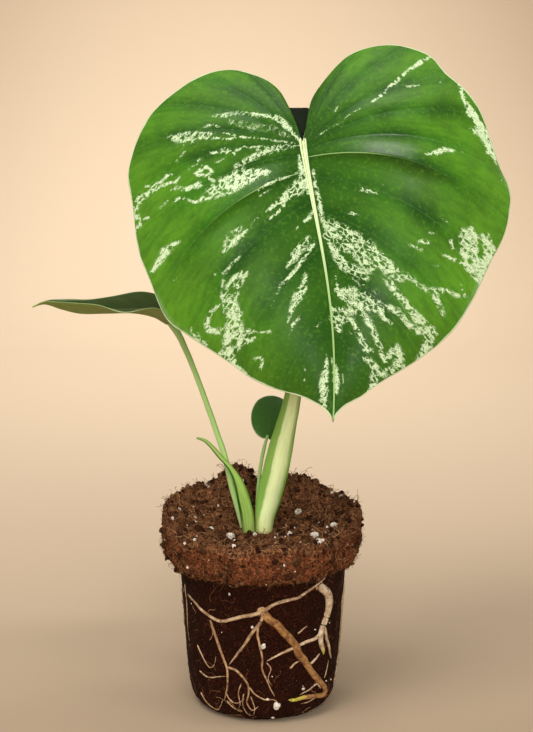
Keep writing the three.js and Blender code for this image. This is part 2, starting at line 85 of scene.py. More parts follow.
# %% Smooth noise over whole arrays
def cell_values(cells, seed):
    keys = cells.astype(np.int64)
    mixed = keys[..., 0] * 374761393 + keys[..., 1] * 668265263 + keys[..., 2] * 1442695041
    mixed = (mixed + seed * 974711) & 0xFFFFFFFF
    for shift, factor in ((13, 1274126177), (16, 1103515245)):
        mixed = ((mixed ^ (mixed >> shift)) * factor) & 0xFFFFFFFF
    return (mixed ^ (mixed >> 15)) / 0x7FFFFFFF - 1


def noise(points, size, seed, octaves=1):
    total = 0
    for octave in range(octaves):
        scaled = points * (2 ** octave / size)
        cell = np.floor(scaled)
        part = scaled - cell
        part = part * part * (3 - 2 * part)
        for corner in np.ndindex(2, 2, 2):
            share = np.prod(np.where(corner, part, 1 - part), axis=-1)
            total = total + share * cell_values(cell + corner, seed + octave) / 2 ** octave
    return total


def smoothstep(value, low, high):
    share = np.clip((value - low) / (high - low), 0, 1)
    return share * share * (3 - 2 * share)


def hump(distance, width):
    return np.exp(-(distance / width) ** 2)


print("noise at three places:", noise(np.eye(3) * 7.3, 2.0, 1).round(3))

# %% [markdown]
# ## Curves and meshes
#
# Leaves, stems and roots all grow along curves. A Catmull-Rom curve passes through the points
# that are given, so a handful of measured places is enough. The meshes are written as plain
# arrays of points and faces. A curve object with a bevel would do for a stem, but arrays also
# carry extra values for each point, such as how far it is from the midrib, which the
# materials read later to paint in the right places.

# %% Curves through given points
def smooth_line(points, per_span, ends="mirrored"):
    points = np.asarray(points, float)
    if ends == "closed":
        padded = np.vstack([points[-1:], points, points[:2]])
    elif ends == "mirrored":
        padded = np.vstack([2 * points[0] - points[1], points, 2 * points[-1] - points[-2]])
    else:
        padded = np.vstack([points[0], points, points[-1]])
    t = (np.arange(per_span) / per_span)[:, None]
    spans = []
    for before, start, end, after in zip(padded, padded[1:], padded[2:], padded[3:]):
        leave = (end - before) / 2
        arrive = (after - start) / 2
        cubic = 2 * start - 2 * end + leave + arrive
        square = 3 * end - 3 * start - 2 * leave - arrive
        spans.append(cubic * t ** 3 + square * t ** 2 + leave * t + start)
    if ends != "closed":
        spans.append(points[-1:])
    return np.vstack(spans)


def run_along(line):
    return np.concatenate([[0], np.cumsum(np.linalg.norm(np.diff(line, axis=0), axis=1))])


def pick_along(line, run, wanted):
    return np.stack([np.interp(wanted, run, line[:, k]) for k in range(line.shape[1])], axis=-1)


def unit(vectors):
    return vectors / np.linalg.norm(vectors, axis=-1, keepdims=True)


# %% Faces of grids and tubes, and finished pieces
def grid_faces(columns, rows, start=0, flip=False):
    at = start + np.arange((columns + 1) * (rows + 1)).reshape(columns + 1, rows + 1)
    faces = np.stack([at[:-1, :-1], at[1:, :-1], at[1:, 1:], at[:-1, 1:]], axis=-1).reshape(-1, 4)
    return faces[:, ::-1] if flip else faces


def tube_faces(rings, sides, start=0):
    at = start + np.arange(rings * sides).reshape(rings, sides)
    turned = np.roll(at, -1, axis=1)
    return np.stack([at[:-1], turned[:-1], turned[1:], at[1:]], axis=-1).reshape(-1, 4)


def capped_tube_faces(rings, sides, start=0):
    last = start + rings * sides
    ends = [list(range(start, start + sides))[::-1], list(range(last - sides, last))]
    return tube_faces(rings, sides, start).tolist() + ends


def make_piece(name, points, faces, finish, slot, replaces=(), weld=False, **marks):
    mesh = bpy.data.meshes.new(name)
    mesh.from_pydata(np.asarray(points, float) * MM, [], faces)
    for mark, values in marks.items():
        values = np.asarray(values, np.float32)
        layer = mesh.attributes.new(mark, "FLOAT" if values.ndim == 1 else "FLOAT_VECTOR", "POINT")
        layer.data.foreach_set("value" if values.ndim == 1 else "vector", values.ravel())
    if weld:
        welded = bmesh.new()
        welded.from_mesh(mesh)
        bmesh.ops.remove_doubles(welded, verts=welded.verts, dist=1e-6)
        welded.to_mesh(mesh)
        welded.free()
    mesh.shade_smooth()
    mesh.materials.append(finish)
    piece = new_object(name, mesh)
    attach(piece, "root")
    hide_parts(*replaces)
    triangles = sum(len(polygon.vertices) - 2 for polygon in mesh.polygons)
    print(f"{name}: {triangles} triangles")


class Joined:
    """One mesh that is put together from many small shapes, with one mark for every point."""

    def __init__(self):
        self.points, self.faces, self.marks = [], [], []
        self.size = 0

    def add(self, points, faces, marks):
        self.points.append(points.reshape(-1, 3))
        self.faces.extend(faces)
        self.marks.append(marks)
        self.size += len(self.points[-1])

    def make(self, name, finish, slot, mark, replaces=()):
        marks = {mark: np.concatenate(self.marks)}
        make_piece(name, np.vstack(self.points), self.faces, finish, slot, replaces, **marks)


# %% [markdown]
# ## Writing materials in short calls
#
# A material is a small network of nodes. Wiring it by hand in the editor is fine for one,
# but ten materials are easier to read as formulas. Each call below adds one node and gives
# back its output, so a colour is written as mix(mask, green, cream). The call that is used
# most is blend: it goes from one colour to another while some value goes from low to high.

# %% A material as a network of formulas
class Finish:
    def __init__(self, name, **sockets):
        self.material = bpy.data.materials.new(name)
        self.material.use_nodes = True
        self.tree = self.material.node_tree
        self.shader = self.tree.nodes["Principled BSDF"]
        for socket, value in sockets.items():
            self.shader.inputs[socket.replace("_", " ")].default_value = value

    def add(self, kind, values, output=0, **settings):
        node = self.tree.nodes.new(kind)
        for setting, value in settings.items():
            setattr(node, setting, value)
        for socket, value in values.items():
            self.join(node.inputs[socket], value)
        return node.outputs[output]

    def join(self, socket, value):
        if isinstance(value, bpy.types.NodeSocket):
            self.tree.links.new(value, socket)
        elif isinstance(value, tuple) and len(value) == 3 and socket.type == "RGBA":
            socket.default_value = (*value, 1)
        else:
            socket.default_value = value

    def mark(self, name, output="Fac"):
        return self.add("ShaderNodeAttribute", {}, output, attribute_name=name)

    def parts(self, vector):
        node = self.tree.nodes.new("ShaderNodeSeparateXYZ")
        self.tree.links.new(vector, node.inputs[0])
        return node.outputs

    def place(self):
        return self.add("ShaderNodeTexCoord", {}, "Object")

    def vector(self, x=0.0, y=0.0, z=0.0):
        return self.add("ShaderNodeCombineXYZ", {0: x, 1: y, 2: z})

    def math(self, operation, a, b=0.0, c=0.0):
        return self.add("ShaderNodeMath", {0: a, 1: b, 2: c}, operation=operation)

    def times(self, a, b):
        return self.math("MULTIPLY", a, b)

    def absolute(self, value):
        return self.math("ABSOLUTE", value)

    def vectors(self, operation, a, b, output="Vector"):
        return self.add("ShaderNodeVectorMath", {0: a, 1: b}, output, operation=operation)

    def ease(self, value, low, high, first=0.0, last=1.0):
        values = {"Value": value, "From Min": low, "From Max": high, "To Min": first, "To Max": last}
        return self.add("ShaderNodeMapRange", values, interpolation_type="SMOOTHSTEP")

    def mix(self, factor, a, b, blend="MIX"):
        return self.add("ShaderNodeMix", {0: factor, 6: a, 7: b}, 2, data_type="RGBA", blend_type=blend)

    def blend(self, value, low, high, a, b, first=0.0, last=1.0):
        """From colour a to colour b, while the value goes from low to high."""
        return self.mix(self.ease(value, low, high, first, last), a, b)

    def clouds(self, vector, scale, detail=2.0, roughness=0.5):
        values = {"Vector": vector, "Scale": scale, "Detail": detail, "Roughness": roughness}
        return self.add("ShaderNodeTexNoise", values, "Fac")

    def cells(self, vector, scale, output="Distance", **settings):
        values = {"Vector": vector, "Scale": scale}
        return self.add("ShaderNodeTexVoronoi", values, output, **settings)

    def holes(self, vector, scale, shallow, deep):
        """How deep a point is inside a hole of an irregular net. Some of the holes stay shut."""
        flat = {"voronoi_dimensions": "2D"}
        inside = self.cells(vector, scale, "Distance", feature="DISTANCE_TO_EDGE", **flat)
        chance = self.parts(self.cells(vector, scale, "Color", **flat))[0]
        return self.times(inside, self.ease(chance, 0.25, 0.75, shallow, deep))

    def relief(self, height, depth, strength=1.0):
        bump = self.add("ShaderNodeBump", {"Height": height, "Distance": depth, "Strength": strength})
        self.tree.links.new(bump, self.shader.inputs["Normal"])

    def paint(self, colour, roughness=None):
        self.tree.links.new(colour, self.shader.inputs["Base Color"])
        if roughness is not None:
            self.tree.links.new(roughness, self.shader.inputs["Roughness"])
        return self.material


def tone(red, green, blue):
    """A colour from 0-255 screen values, as the shader's linear numbers."""
    share = np.array([red, green, blue]) / 255
    linear = np.where(share <= 0.04045, share / 12.92, ((share + 0.055) / 1.055) ** 2.4)
    return tuple(float(value) for value in linear)


print("leaf green in linear numbers:", [round(value, 3) for value in tone(72, 125, 30)])

# %% [markdown]
# ## How a leaf is laid out
#
# A leaf blade is not a flat shape with a picture on it. Its veins run from the midrib to the
# margin, its creases follow them, and so does its variegation. The blade is therefore laid out
# as a grid of veins: s runs along the margin from the notch to the drip tip, and r runs along
# one vein from the midrib to the margin. A cut-out plane with subdivisions would be simpler,
# but then nothing would follow the veins.

# %% The vein grid
def leaf_frame(notch, along, facing):
    across = unit(np.cross(facing, along))
    return {"notch": notch, "along": along, "across": across, "normal": np.cross(along, across)}


def vein_grid(leaf, side, columns, rows):
    s = np.linspace(0, 1, columns + 1)[:, None]
    r = (np.linspace(0, 1, rows + 1) ** leaf["row_growth"])[None, :]
    outline = smooth_line(leaf["margins"][side > 0], 60, ends="repeated")
    run = run_along(outline)
    margin = pick_along(outline, run, s[:, 0] * run[-1])
    down = np.maximum(0, (s - leaf["fan_share"]) / (1 - leaf["fan_share"]))
    u0 = leaf["fan_start"] + (leaf["length"] - leaf["fan_start"]) * down ** leaf["vein_spread"]
    v0 = midrib_sway(leaf, u0)
    du = margin[:, :1] - u0
    dv = side * margin[:, 1:] - v0
    bow = leaf["vein_bow"] * np.sin(np.pi * s) * 4 * r * (1 - r)
    grid = {
        "u": u0 + du * r - bow * np.abs(dv),
        "v": v0 + dv * r + bow * du * side,
        "chord": np.hypot(du, dv) + 0 * r,
        "s": s + 0 * r,
        "r": r + 0 * s,
    }
    return {**grid, "side": side, "run": run[-1]}


def midrib_sway(leaf, u):
    share = np.clip(u / leaf["length"], 0, 1)
    return leaf["sway"] * np.sin(np.pi * share ** 1.35)


# %% The two faces of a blade
EDGE_THINNING = 0.55


def blade_points(leaf, grid, lift):
    frame_of = leaf["frame"]
    return (
        frame_of["notch"]
        + grid["u"][..., None] * frame_of["along"]
        + grid["v"][..., None] * frame_of["across"]
        + lift[..., None] * frame_of["normal"]
    )


def blade_depth(leaf, grid):
    thin = 1 - EDGE_THINNING * smoothstep(grid["r"], 0.8, 1)
    fade = np.maximum(0, 1 - grid["u"] / leaf["length"])
    rib = leaf["rib_depth"] * fade * hump(grid["r"] * grid["chord"], leaf["rib_width"])
    return leaf["thickness"] * thin + rib


def vein_spacing(leaf, grid):
    """The distance between two side veins, across the veins."""
    place = np.stack([grid["u"], grid["v"]], axis=-1)
    over = np.gradient(place, axis=0) * (len(place) - 1)
    along = unit(np.gradient(place, axis=1))
    return leaf["vein_step"] * np.abs(over[..., 0] * along[..., 1] - over[..., 1] * along[..., 0])


def blade_marks(leaf, grid, under, markings):
    u, v, s, r = (grid[key].ravel() for key in "uvsr")
    reach = r * grid["chord"].ravel()
    half_rib = leaf["rib_half"] * np.exp(-4 * np.maximum(0, u) / leaf["length"]) + leaf["rib_tip"]
    beside = v - midrib_sway(leaf, u)
    from_rib = np.where(u > 0, beside, np.sign(beside) * np.hypot(u, v)) / half_rib
    phase = (s - leaf["first_vein"][grid["side"] > 0]) / leaf["vein_step"]
    spacing = vein_spacing(leaf, grid).ravel()
    folded = hump(s - leaf["creases"][grid["side"] > 0], 0.035) * (1 - smoothstep(r, 0.1, 0.55))
    return {
        "vein": np.stack([phase, spacing, reach], axis=1),
        "leaf": np.stack([u, from_rib, grid["chord"].ravel() - reach], axis=1),
        "weave": np.stack([np.abs(v) + u, np.abs(v) - u, np.full_like(u, grid["side"])], axis=1),
        "under": np.full_like(u, under),
        "folded": folded,
        "cream": markings(u, v) if markings else np.zeros_like(u),
    }


def make_blade(name, leaf, columns, rows, finish, slot, replaces, markings=None):
    under_rows = max(6, rows // 4)
    points, faces, marks = [], [], []
    for side in (-1, 1):
        starts = []
        for under, count in ((0, rows), (1, under_rows)):
            grid = vein_grid(leaf, side, columns, count)
            lift = leaf["lift"](grid) - under * blade_depth(leaf, grid)
            starts.append(sum(len(block) for block in points))
            points.append(blade_points(leaf, grid, lift).reshape(-1, 3))
            faces.append(grid_faces(columns, count, starts[-1], flip=(side < 0) != bool(under)))
            marks.append(blade_marks(leaf, grid, under, markings))
        top_edge = starts[0] + rows + np.arange(columns + 1) * (rows + 1)
        low_edge = starts[1] + under_rows + np.arange(columns + 1) * (under_rows + 1)
        edge = np.stack([top_edge[:-1], top_edge[1:], low_edge[1:], low_edge[:-1]], axis=1)
        faces.append(edge[:, ::-1] if side < 0 else edge)
    joined = {mark: np.concatenate([block[mark] for block in marks]) for mark in marks[0]}
    all_faces = np.vstack(faces).tolist()
    make_piece(name, np.vstack(points), all_faces, finish, slot, replaces, weld=True, **joined)


# %% [markdown]
# ## The big leaf: its shape
#
# The blade is a tilted heart with a valley along its midrib and domed halves. Between the
# side veins the tissue puffs up a little, and each vein lies in a shallow groove. Light
# catches on these pillows long before one sees the veins themselves, so they are modelled
# in the mesh and not only in the shading. One vein on each half is folded into a crease.

# %% The big leaf's outline and lift
LEAF_LENGTH = 163
LEAF_TILT = np.radians(20)
LEAF_ROLL = np.radians(5.9)
LEAF_NOTCH = np.array([23.1, -20, 343.9])
LEFT_MARGIN = [
    (0, 0), (-9, 3), (-21, 6), (-31, 9), (-39, 15), (-45, 24), (-49.5, 36), (-48.5, 50), (-43, 63),
    (-32, 80), (-24, 88), (-14, 94), (-2, 99), (10, 102), (25, 101), (52, 100), (71, 95), (93, 88),
    (104, 77), (114, 65), (125, 52), (133, 43), (140, 31), (146, 17), (151, 8.5), (157, 2.6),
    (LEAF_LENGTH, 0),
]
RIGHT_MARGIN = [
    (0, 0), (-9, 3), (-17, 5), (-27, 9), (-37, 17), (-46, 26), (-52, 35), (-55, 47), (-55, 61),
    (-50, 75), (-44, 82), (-34, 88), (-22, 98), (-9, 105), (8, 109), (24, 112), (40, 116), (56, 113),
    (68, 108), (80, 100), (93, 92), (105, 84), (118, 73), (129, 57), (136, 44), (143, 29), (150, 17),
    (154, 8), (158.5, 2.4), (LEAF_LENGTH, 0),
]
VEIN_STEP = 0.083
FIRST_VEINS = (0.069, 0.087)        # of the left and of the right half
CREASES = (0.65, 0.585)             # the folded vein of the left and of the right half
PILLOW_HEIGHT = 0.022               # of the distance between two veins
leaf_down = np.array([0, -np.sin(LEAF_TILT), -np.cos(LEAF_TILT)]) * np.cos(LEAF_ROLL)
leaf_down[0] = np.sin(LEAF_ROLL)


def pillows(grid, first, step, height):
    """The blade puffs up between its side veins, and each vein lies in a shallow groove."""
    spacing = step * grid["run"] * grid["r"]
    puff = np.abs(np.sin(np.pi * (grid["s"] - first) / step))
    return height * spacing * (puff - 0.6) * (1 - grid["r"] ** 6)


def big_leaf_lift(grid):
    u, chord, s, r = (grid[key] for key in ("u", "chord", "s", "r"))
    right = grid["side"] > 0
    dome = chord * (0.32 * r - 0.38 * r * r) * (1 - 0.42 * smoothstep(-u, 0, 40))
    droop = 8 * (np.maximum(0, u) / 175) ** 2 + 4.8 * (np.maximum(0, -u) / 60) ** 2
    wave = 1.3 * r ** 4 * np.sin(2 * np.pi * 5.5 * s + grid["side"]) * np.sin(np.pi * s)
    past_fold = (s - CREASES[right]) / (0.085 if right else 0.07)
    roof = np.where(past_fold < 0, np.maximum(0, 1 + past_fold) ** 1.3, np.exp(-4 * past_fold))
    fold = (6 if right else 4.8) * roof * 4 * r * (1 - r) * (1 - smoothstep(r, 0.5, 0.95))
    groove = 0.45 * hump(r * chord, 1.6)
    pillow = pillows(grid, FIRST_VEINS[right], VEIN_STEP, PILLOW_HEIGHT)
    return dome - droop + wave + fold - groove + pillow


big_leaf = {
    "frame": leaf_frame(LEAF_NOTCH, leaf_down, np.array([0, -np.cos(LEAF_TILT), np.sin(LEAF_TILT)])),
    "length": LEAF_LENGTH,
    "margins": (LEFT_MARGIN, RIGHT_MARGIN),
    "fan_start": 5,
    "fan_share": 0.46,
    "vein_spread": 2.4,
    "vein_bow": 0.1,
    "sway": 5.5,
    "thickness": 0.9,
    "rib_depth": 3.2,
    "rib_width": 3.2,
    "rib_half": 1.7,
    "rib_tip": 0.45,
    "first_vein": FIRST_VEINS,
    "creases": CREASES,
    "vein_step": VEIN_STEP,
    "row_growth": 1.15,
    "lift": big_leaf_lift,
}
print("big leaf:", LEAF_LENGTH, "mm from notch to tip, veins every", VEIN_STEP, "of the margin")

# %% [markdown]
# ## The big leaf: where it has lost its green
#
# White-green variegation follows the veins: streaks, nets and patches, each made of many small
# cream cells with green ones left between them. It could be painted on an image, but an image
# has one sharpness only. Here each streak is a short stroke on the blade: a density in front,
# and then a few places along it, each in millimetres down from the notch and across to the
# right, with half the width there. The strokes say where and how strongly the leaf is
# bleached, and the material breaks them up into cells. Islands of green are cut out again.

# %% The streaks of the big leaf
STREAKS = [
    # beside the midrib, just below the notch
    (0.85, (8, -3, 0.5), (13, -2.6, 1.6), (20, -1.8, 2.2), (30, 0, 2)),
    (0.8, (17.5, 4, 0.7), (26, 4.6, 1.3), (34, 5.4, 1.6), (44, 6, 1.2)),
    # from the notch out over the left lobe
    (0.78, (-0.5, -2, 0.8), (-6, -6, 1.6), (-11, -10, 2.3), (-14, -13, 2.2), (-16, -19, 1.3),
     (-18, -26.5, 1)),
    (0.56, (-16.5, -24.5, 1.8), (-19.5, -33.5, 1.8), (-19, -41.5, 1.8), (-19, -49.5, 1.2)),
    (0.36, (-3, -8, 1.5), (-8, -17, 3), (-10, -29, 3), (-14, -40, 2.4)),
    (0.75, (1.5, -1.5, 0.5), (0.5, -9.5, 0.7), (-2, -21, 0.6), (-3.5, -32, 0.7), (-5.5, -38.5, 0.7),
     (-8, -45, 0.6)),
    (0.75, (-4.5, -35.5, 0.6), (-3.5, -43, 0.8), (-5.5, -51, 0.9), (-6, -58.5, 1.2)),
    (0.62, (-10, -76, 1.8), (-8, -70, 3.9), (-8, -63, 3.9), (-8, -56, 2.4), (-8, -50, 1.2)),
    (0.6, (-2.5, -72.5, 0.4), (-3.5, -68, 0.7), (-4.5, -62.5, 1.2)),
    (0.55, (-13, -55.5, 0.7), (-14, -51, 1.2), (-11.5, -47, 0.9)),
    (0.85, (3.5, -53.5, 0.6), (3.5, -49.5, 1), (3, -44.5, 1.9), (5.5, -39.5, 0.8)),
    (0.7, (3.5, -38.5, 0.7), (2, -34, 0.8), (2.5, -28, 0.6), (2, -24, 0.6)),
    (0.66, (2.5, -2.5, 0.6), (3, -10, 1.8), (4, -15, 2.7), (5, -21, 3), (4, -25.5, 1.8)),
    (0.7, (5.5, -23, 1.8), (8, -28.5, 2), (10.5, -34.5, 1.8), (13, -39, 2.1)),
    # the bright patch under it, and the strands out to the left margin
    (0.87, (18, -21, 0.8), (18, -24, 2.6), (19, -30, 4.2), (20, -37, 6), (24, -46, 6.3),
     (27, -54, 4.5), (30, -60, 2.1)),
    (0.82, (12.5, -67.5, 0.5), (8.5, -62.5, 0.7), (6, -59.5, 0.6)),
    (0.8, (8.5, -62.5, 0.6), (10.5, -58.5, 0.6)),
    (0.85, (14.5, -63, 1.1), (13, -60.5, 1.2), (11.5, -56, 1.3), (14.5, -53.5, 1.2), (16.5, -57, 1.2),
     (15.5, -62, 1.1)),
    (0.75, (17, -56.5, 0.9), (20.5, -53, 1.2), (23, -50, 1.2)),
    (0.8, (9.5, -50.5, 0.5), (8, -46, 0.6)),
    (0.7, (8, -75, 0.5), (4.5, -72, 0.6), (0, -67, 0.4)),
    (0.85, (16.5, -93, 0.7), (17.5, -88.5, 1), (16, -83.5, 1), (13, -79, 1.1), (12.5, -76, 0.6)),
    (0.88, (17, -76.5, 0.6), (18, -81.5, 1.1), (19, -87, 1.6), (21, -92, 2.1), (23, -96, 2.4),
     (27, -99, 2.1), (30.5, -100, 1.8)),
    (0.9, (30, -100, 1.8), (35, -98.5, 1.8), (38, -98, 1.5), (40.5, -100.5, 0.9)),
    (0.85, (34.5, -98, 1.1), (35, -92, 0.5)),
    (0.85, (22, -78, 0.8), (21, -73.5, 1.3), (23, -70.5, 1.4), (22.5, -66, 1.5), (21, -61, 1.8)),
    (0.75, (18, -75, 0.9), (15, -72, 0.6)),
    (0.75, (31, -85, 0.5), (28, -80.5, 0.7)),
    (0.8, (29, -77, 0.7), (27, -73.5, 0.9), (28.5, -69.5, 0.8), (31.5, -65, 0.9), (30.5, -60, 1.2)),
    # beside the midrib, on the left
    (0.8, (18, -2.5, 0.3), (21, -10, 0.4), (23.5, -16.5, 0.6)),
    (0.95, (23, -16, 0.8), (25.5, -22.5, 1), (29, -28.5, 0.5)),
    (0.85, (28.5, -21, 0.5), (32, -28, 0.5)),
    (0.9, (17.5, -0.5, 1.2), (22, -2, 3), (28, -6, 4.2), (33, -13, 2.7), (37.5, -20, 1.6),
     (41, -25, 0.6)),
    (0.8, (37.5, -14, 0.7), (43.5, -20.5, 1), (46, -26, 0.8)),
    (0.85, (41.5, 1.5, 0.7), (45.5, -1, 1.3), (47.5, -4, 0.8)),
    (0.75, (43.5, -29, 0.5), (45.5, -32, 0.5)),
    (0.8, (47, -33.5, 0.6), (51.5, -38, 0.8), (56.5, -41, 0.6)),
    (0.72, (49, -40.5, 1.2), (52, -45, 2.7), (56, -48, 3), (61, -50.5, 1.5)),
    (0.8, (50, -37, 0.5), (53.5, -41, 1.2), (57, -45, 2.4), (61.5, -52, 0.6)),
    (0.8, (50.5, -8, 0.5), (53, -10, 0.4)),
    (0.85, (52, -74.5, 0.4), (54, -79.5, 1.9), (57, -85, 3), (62, -89, 2.3), (66.5, -93.5, 1.1)),
    (0.68, (57.5, -2.5, 1.8), (63, -8, 3), (69, -13, 2.7), (74, -17, 0.9)),
    (0.95, (60, 0.5, 1.2), (68, -5.5, 1), (77.5, -14, 1), (84.5, -22, 0.8), (95, -28, 0.2)),
    (0.78, (78.5, -6.5, 1.2), (86, -9, 3), (92, -13, 3.1), (97.5, -16.5, 1.8), (105, -20, 0.5)),
    (0.85, (102, -12, 0.4), (106.5, -17, 0.8), (112.5, -20, 0.4)),
    (0.6, (104.5, 0, 0.3), (109, -3.5, 0.3)),
    # the netted patch low on the left, and the tip
    (0.85, (65.5, -43, 0.9), (68.5, -47.5, 0.7), (72.5, -50.5, 0.9), (74, -53.5, 0.7)),
    (0.8, (73.5, -57.5, 0.8)),
    (0.8, (77, -53.5, 0.7), (80.5, -54.5, 0.5)),
    (0.72, (75, -40, 1.8), (76, -42, 3), (80, -47, 4.8), (87, -51, 5.4), (93, -51, 4.8)),
    (0.86, (92, -50, 4.2), (99, -49, 4.8), (105, -50, 5.7), (112, -52, 5.7), (117, -55, 4.2),
     (122, -52, 2.4)),
    (0.85, (90.5, -56.5, 1.2), (94, -62, 1.3), (99, -65, 1.8), (103.5, -64.5, 1.8), (105, -57, 2.1)),
    (0.85, (108, -46, 3), (107, -41.5, 1.6), (108.5, -36.5, 0.6), (109, -33, 0.4), (109, -30, 1)),
    (0.85, (112, -48, 3.6), (112.5, -41.5, 1.5), (110.5, -38, 0.5)),
    (0.9, (117, -60, 1.2), (121.5, -54.5, 1.5), (127, -49, 1.6), (132, -44.5, 0.7)),
    (0.85, (100, -74, 0.4), (102.5, -74.5, 0.5), (107.5, -71.5, 0.7), (109.5, -67.5, 0.8),
     (113.5, -66, 0.6)),
    (0.8, (103.5, -71, 0.4), (107, -69.5, 0.4)),
    (0.85, (122.5, -40, 1.1), (123, -36.5, 1.1), (126.5, -36.5, 1.1), (130, -38.5, 0.5)),
    (0.82, (125, 0.5, 0.6), (133.5, -1, 1.9), (141, -3, 2.8), (147, -4, 3), (154, -4, 2.1)),
    (0.82, (127, 3, 0.6), (133.5, 4.5, 1.9), (141, 4, 2.2), (146.5, 3.5, 1.3)),
    (0.7, (135, 8, 0.4), (141.5, 8, 0.5)),
    (0.8, (137.5, -14, 0.8)),
    (0.8, (132, -13, 0.4)),
    (0.8, (125, -19, 0.4)),
    (0.75, (120, -32, 0.4)),
    (0.8, (73, -81, 0.5), (72.5, -79, 0.5)),
    # the right lobe, and the band along its margin
    (0.95, (-45.5, 79.5, 1), (-42, 73.5, 1.4), (-37.5, 66.5, 0.9), (-33, 61, 0.8), (-29.5, 57, 1.2),
     (-27, 52.5, 0.8)),
    (0.88, (-26, 52, 0.6), (-22.5, 49.5, 0.7), (-20.5, 46, 0.9), (-18, 42, 0.6)),
    (0.6, (-16.5, 22, 0.9), (-14, 20, 0.7)),
    (0.42, (-14.5, 34.5, 0.6), (-11.5, 28, 0.5), (-7.5, 23.5, 0.4), (-5, 16.5, 0.4), (-0.5, 6.5, 0.3)),
    (0.5, (-26, 62, 0.9), (-26.5, 70.5, 0.7)),
    (0.3, (-31, 75.5, 0.4), (-33, 80, 0.5), (-34.5, 84.5, 0.8)),
    (0.7, (-28, 83.5, 0.5), (-30, 84.5, 0.4)),
    (0.95, (-30, 91.5, 0.7), (-25.5, 94.5, 0.8), (-17.5, 95.5, 1.6), (-11, 98, 2.1), (-5, 102, 2.9),
     (2, 104, 3.9), (8, 107, 3.6), (15, 109, 2.5), (22, 110.5, 1.2)),
    (0.9, (-8.5, 96.5, 0.9), (-6.5, 98.5, 1.5)),
    (0.9, (2, 97.5, 0.9), (4, 99.5, 1.8)),
    (0.9, (16.5, 104, 0.7), (15.5, 106.5, 1.5)),
    (0.93, (18, 68, 0.8), (17.5, 73.5, 1.6), (15, 79.5, 1.7), (15.5, 84, 1.3)),
    (0.75, (15.5, 84.5, 0.4), (16.5, 90.5, 0.3)),
    (0.93, (33.5, 29.5, 1.1), (34.5, 33, 1.3), (37, 38, 0.8)),
    (0.8, (46, 21, 0.8), (47, 24, 1), (48.5, 27, 0.5)),
    (0.75, (54, 73.5, 0.4), (57, 77, 0.4)),
    (0.7, (32.5, 42.5, 0.5)),
    (0.7, (11.5, 89, 0.5)),
    (0.8, (33, 111.5, 0.7)),
    (0.8, (62, 65, 0.4), (63.5, 69.5, 0.6)),
    (0.82, (66.5, 58.5, 1.2), (67, 63, 1.4), (68.5, 67, 0.5)),
    (0.82, (68.5, 53, 0.5), (69.5, 57, 1.1), (71.5, 59.5, 1.1)),
    # the large net that fans out on the right
    (0.74, (45, 5.5, 1.2), (52, 10, 4.2), (60, 19, 6), (67, 27, 6.3), (75, 35, 5.1)),
    (0.74, (74, 34, 4.8), (80, 41, 3.9), (86, 46, 3.3), (86.5, 52, 1.8), (91.5, 56.5, 1.6),
     (95, 62, 2.1), (95, 67, 2.3), (94.5, 71.5, 1.5)),
    (0.8, (94.5, 71.5, 1.1), (98, 77, 1.2), (99, 84.5, 0.4)),
    (0.8, (98, 64.5, 1.8), (103, 67, 2.1), (108.5, 69, 1)),
    (0.8, (90.5, 80.5, 0.5), (95, 81, 0.5), (98.5, 83.5, 0.5)),
    (0.72, (56, 7, 1.8), (66, 11, 2.7), (75, 15, 3.3), (80, 22, 3.9), (84, 27, 2.4)),
    (0.74, (56, 10, 1.8), (63, 15, 3), (72, 25, 3.6), (80, 30, 3)),
    (0.7, (84, 19.5, 0.6), (90, 27, 0.6), (94, 33, 0.5)),
    (0.8, (80, 10, 0.6), (84, 11, 0.8), (89, 10, 1.6), (93, 13, 3)),
    (0.7, (90, 13, 3), (93, 20, 4.5), (97, 26, 4.5), (100, 32, 2.7)),
    (0.75, (97, 16, 2.4), (100, 24, 2.4), (103, 31, 1.8)),
    (0.8, (82, 36, 2), (89, 40, 2.3), (95, 43, 2.3), (100, 47, 2.3), (106, 51, 2.6), (111, 55, 3.6),
     (117, 59, 4.1), (118.5, 63.5, 1.8)),
    (0.82, (117, 60, 3.9), (122, 59, 3.5), (128, 56, 3), (131, 53, 2.4)),
    (0.76, (103, 31, 1.4), (102.5, 38.5, 1.8), (105.5, 43, 2), (111, 47, 2.2), (117, 53, 2)),
    (0.75, (102.5, 31.5, 1.5), (107.5, 34.5, 1.9), (111.5, 39, 0.7)),
    (0.92, (97, 6.5, 0.9), (102, 7, 3), (106, 8, 3.6), (111.5, 9, 1.8)),
    (0.78, (100, 10.5, 1.8), (102, 15, 2.5), (102, 22, 2)),
    (0.76, (105, 10, 2.4), (108, 17, 2), (116.5, 20, 1.8), (124, 23, 2.4), (125.5, 26.5, 1.6)),
    (0.76, (103, 22, 1.8), (110, 26, 2.2), (119.5, 29.5, 1.9), (126.5, 31, 1.8), (131.5, 32.5, 1.2)),
    (0.78, (128.5, 20.5, 1.1), (131, 24, 2.2), (135, 27, 3), (143, 25, 2.7), (147.5, 21.5, 0.9)),
    (0.76, (137, 27, 2.4), (138, 32, 2.7), (136, 37, 2.4), (135, 43.5, 1.6)),
    (0.72, (131, 33.5, 1.8), (127, 37, 2.4), (125, 40, 3), (130, 42, 3), (134, 39, 3)),
    (0.6, (110.5, 13.5, 0.4), (116, 15.5, 0.4)),
    # the patch at the right margin
    (0.86, (63, 86, 3), (71, 87, 6.3), (79, 88, 6.3), (88, 91, 3.6)),
    (0.97, (66, 98, 3), (74, 100, 4.4), (81, 97, 4.6), (90, 93, 3)),
    (0.8, (62, 90, 2.5), (70, 86, 5), (80, 88, 5), (90, 92, 2.5)),
    (0.92, (65, 92, 2), (74, 93, 3.2), (84, 93, 3.2), (89, 94, 2)),
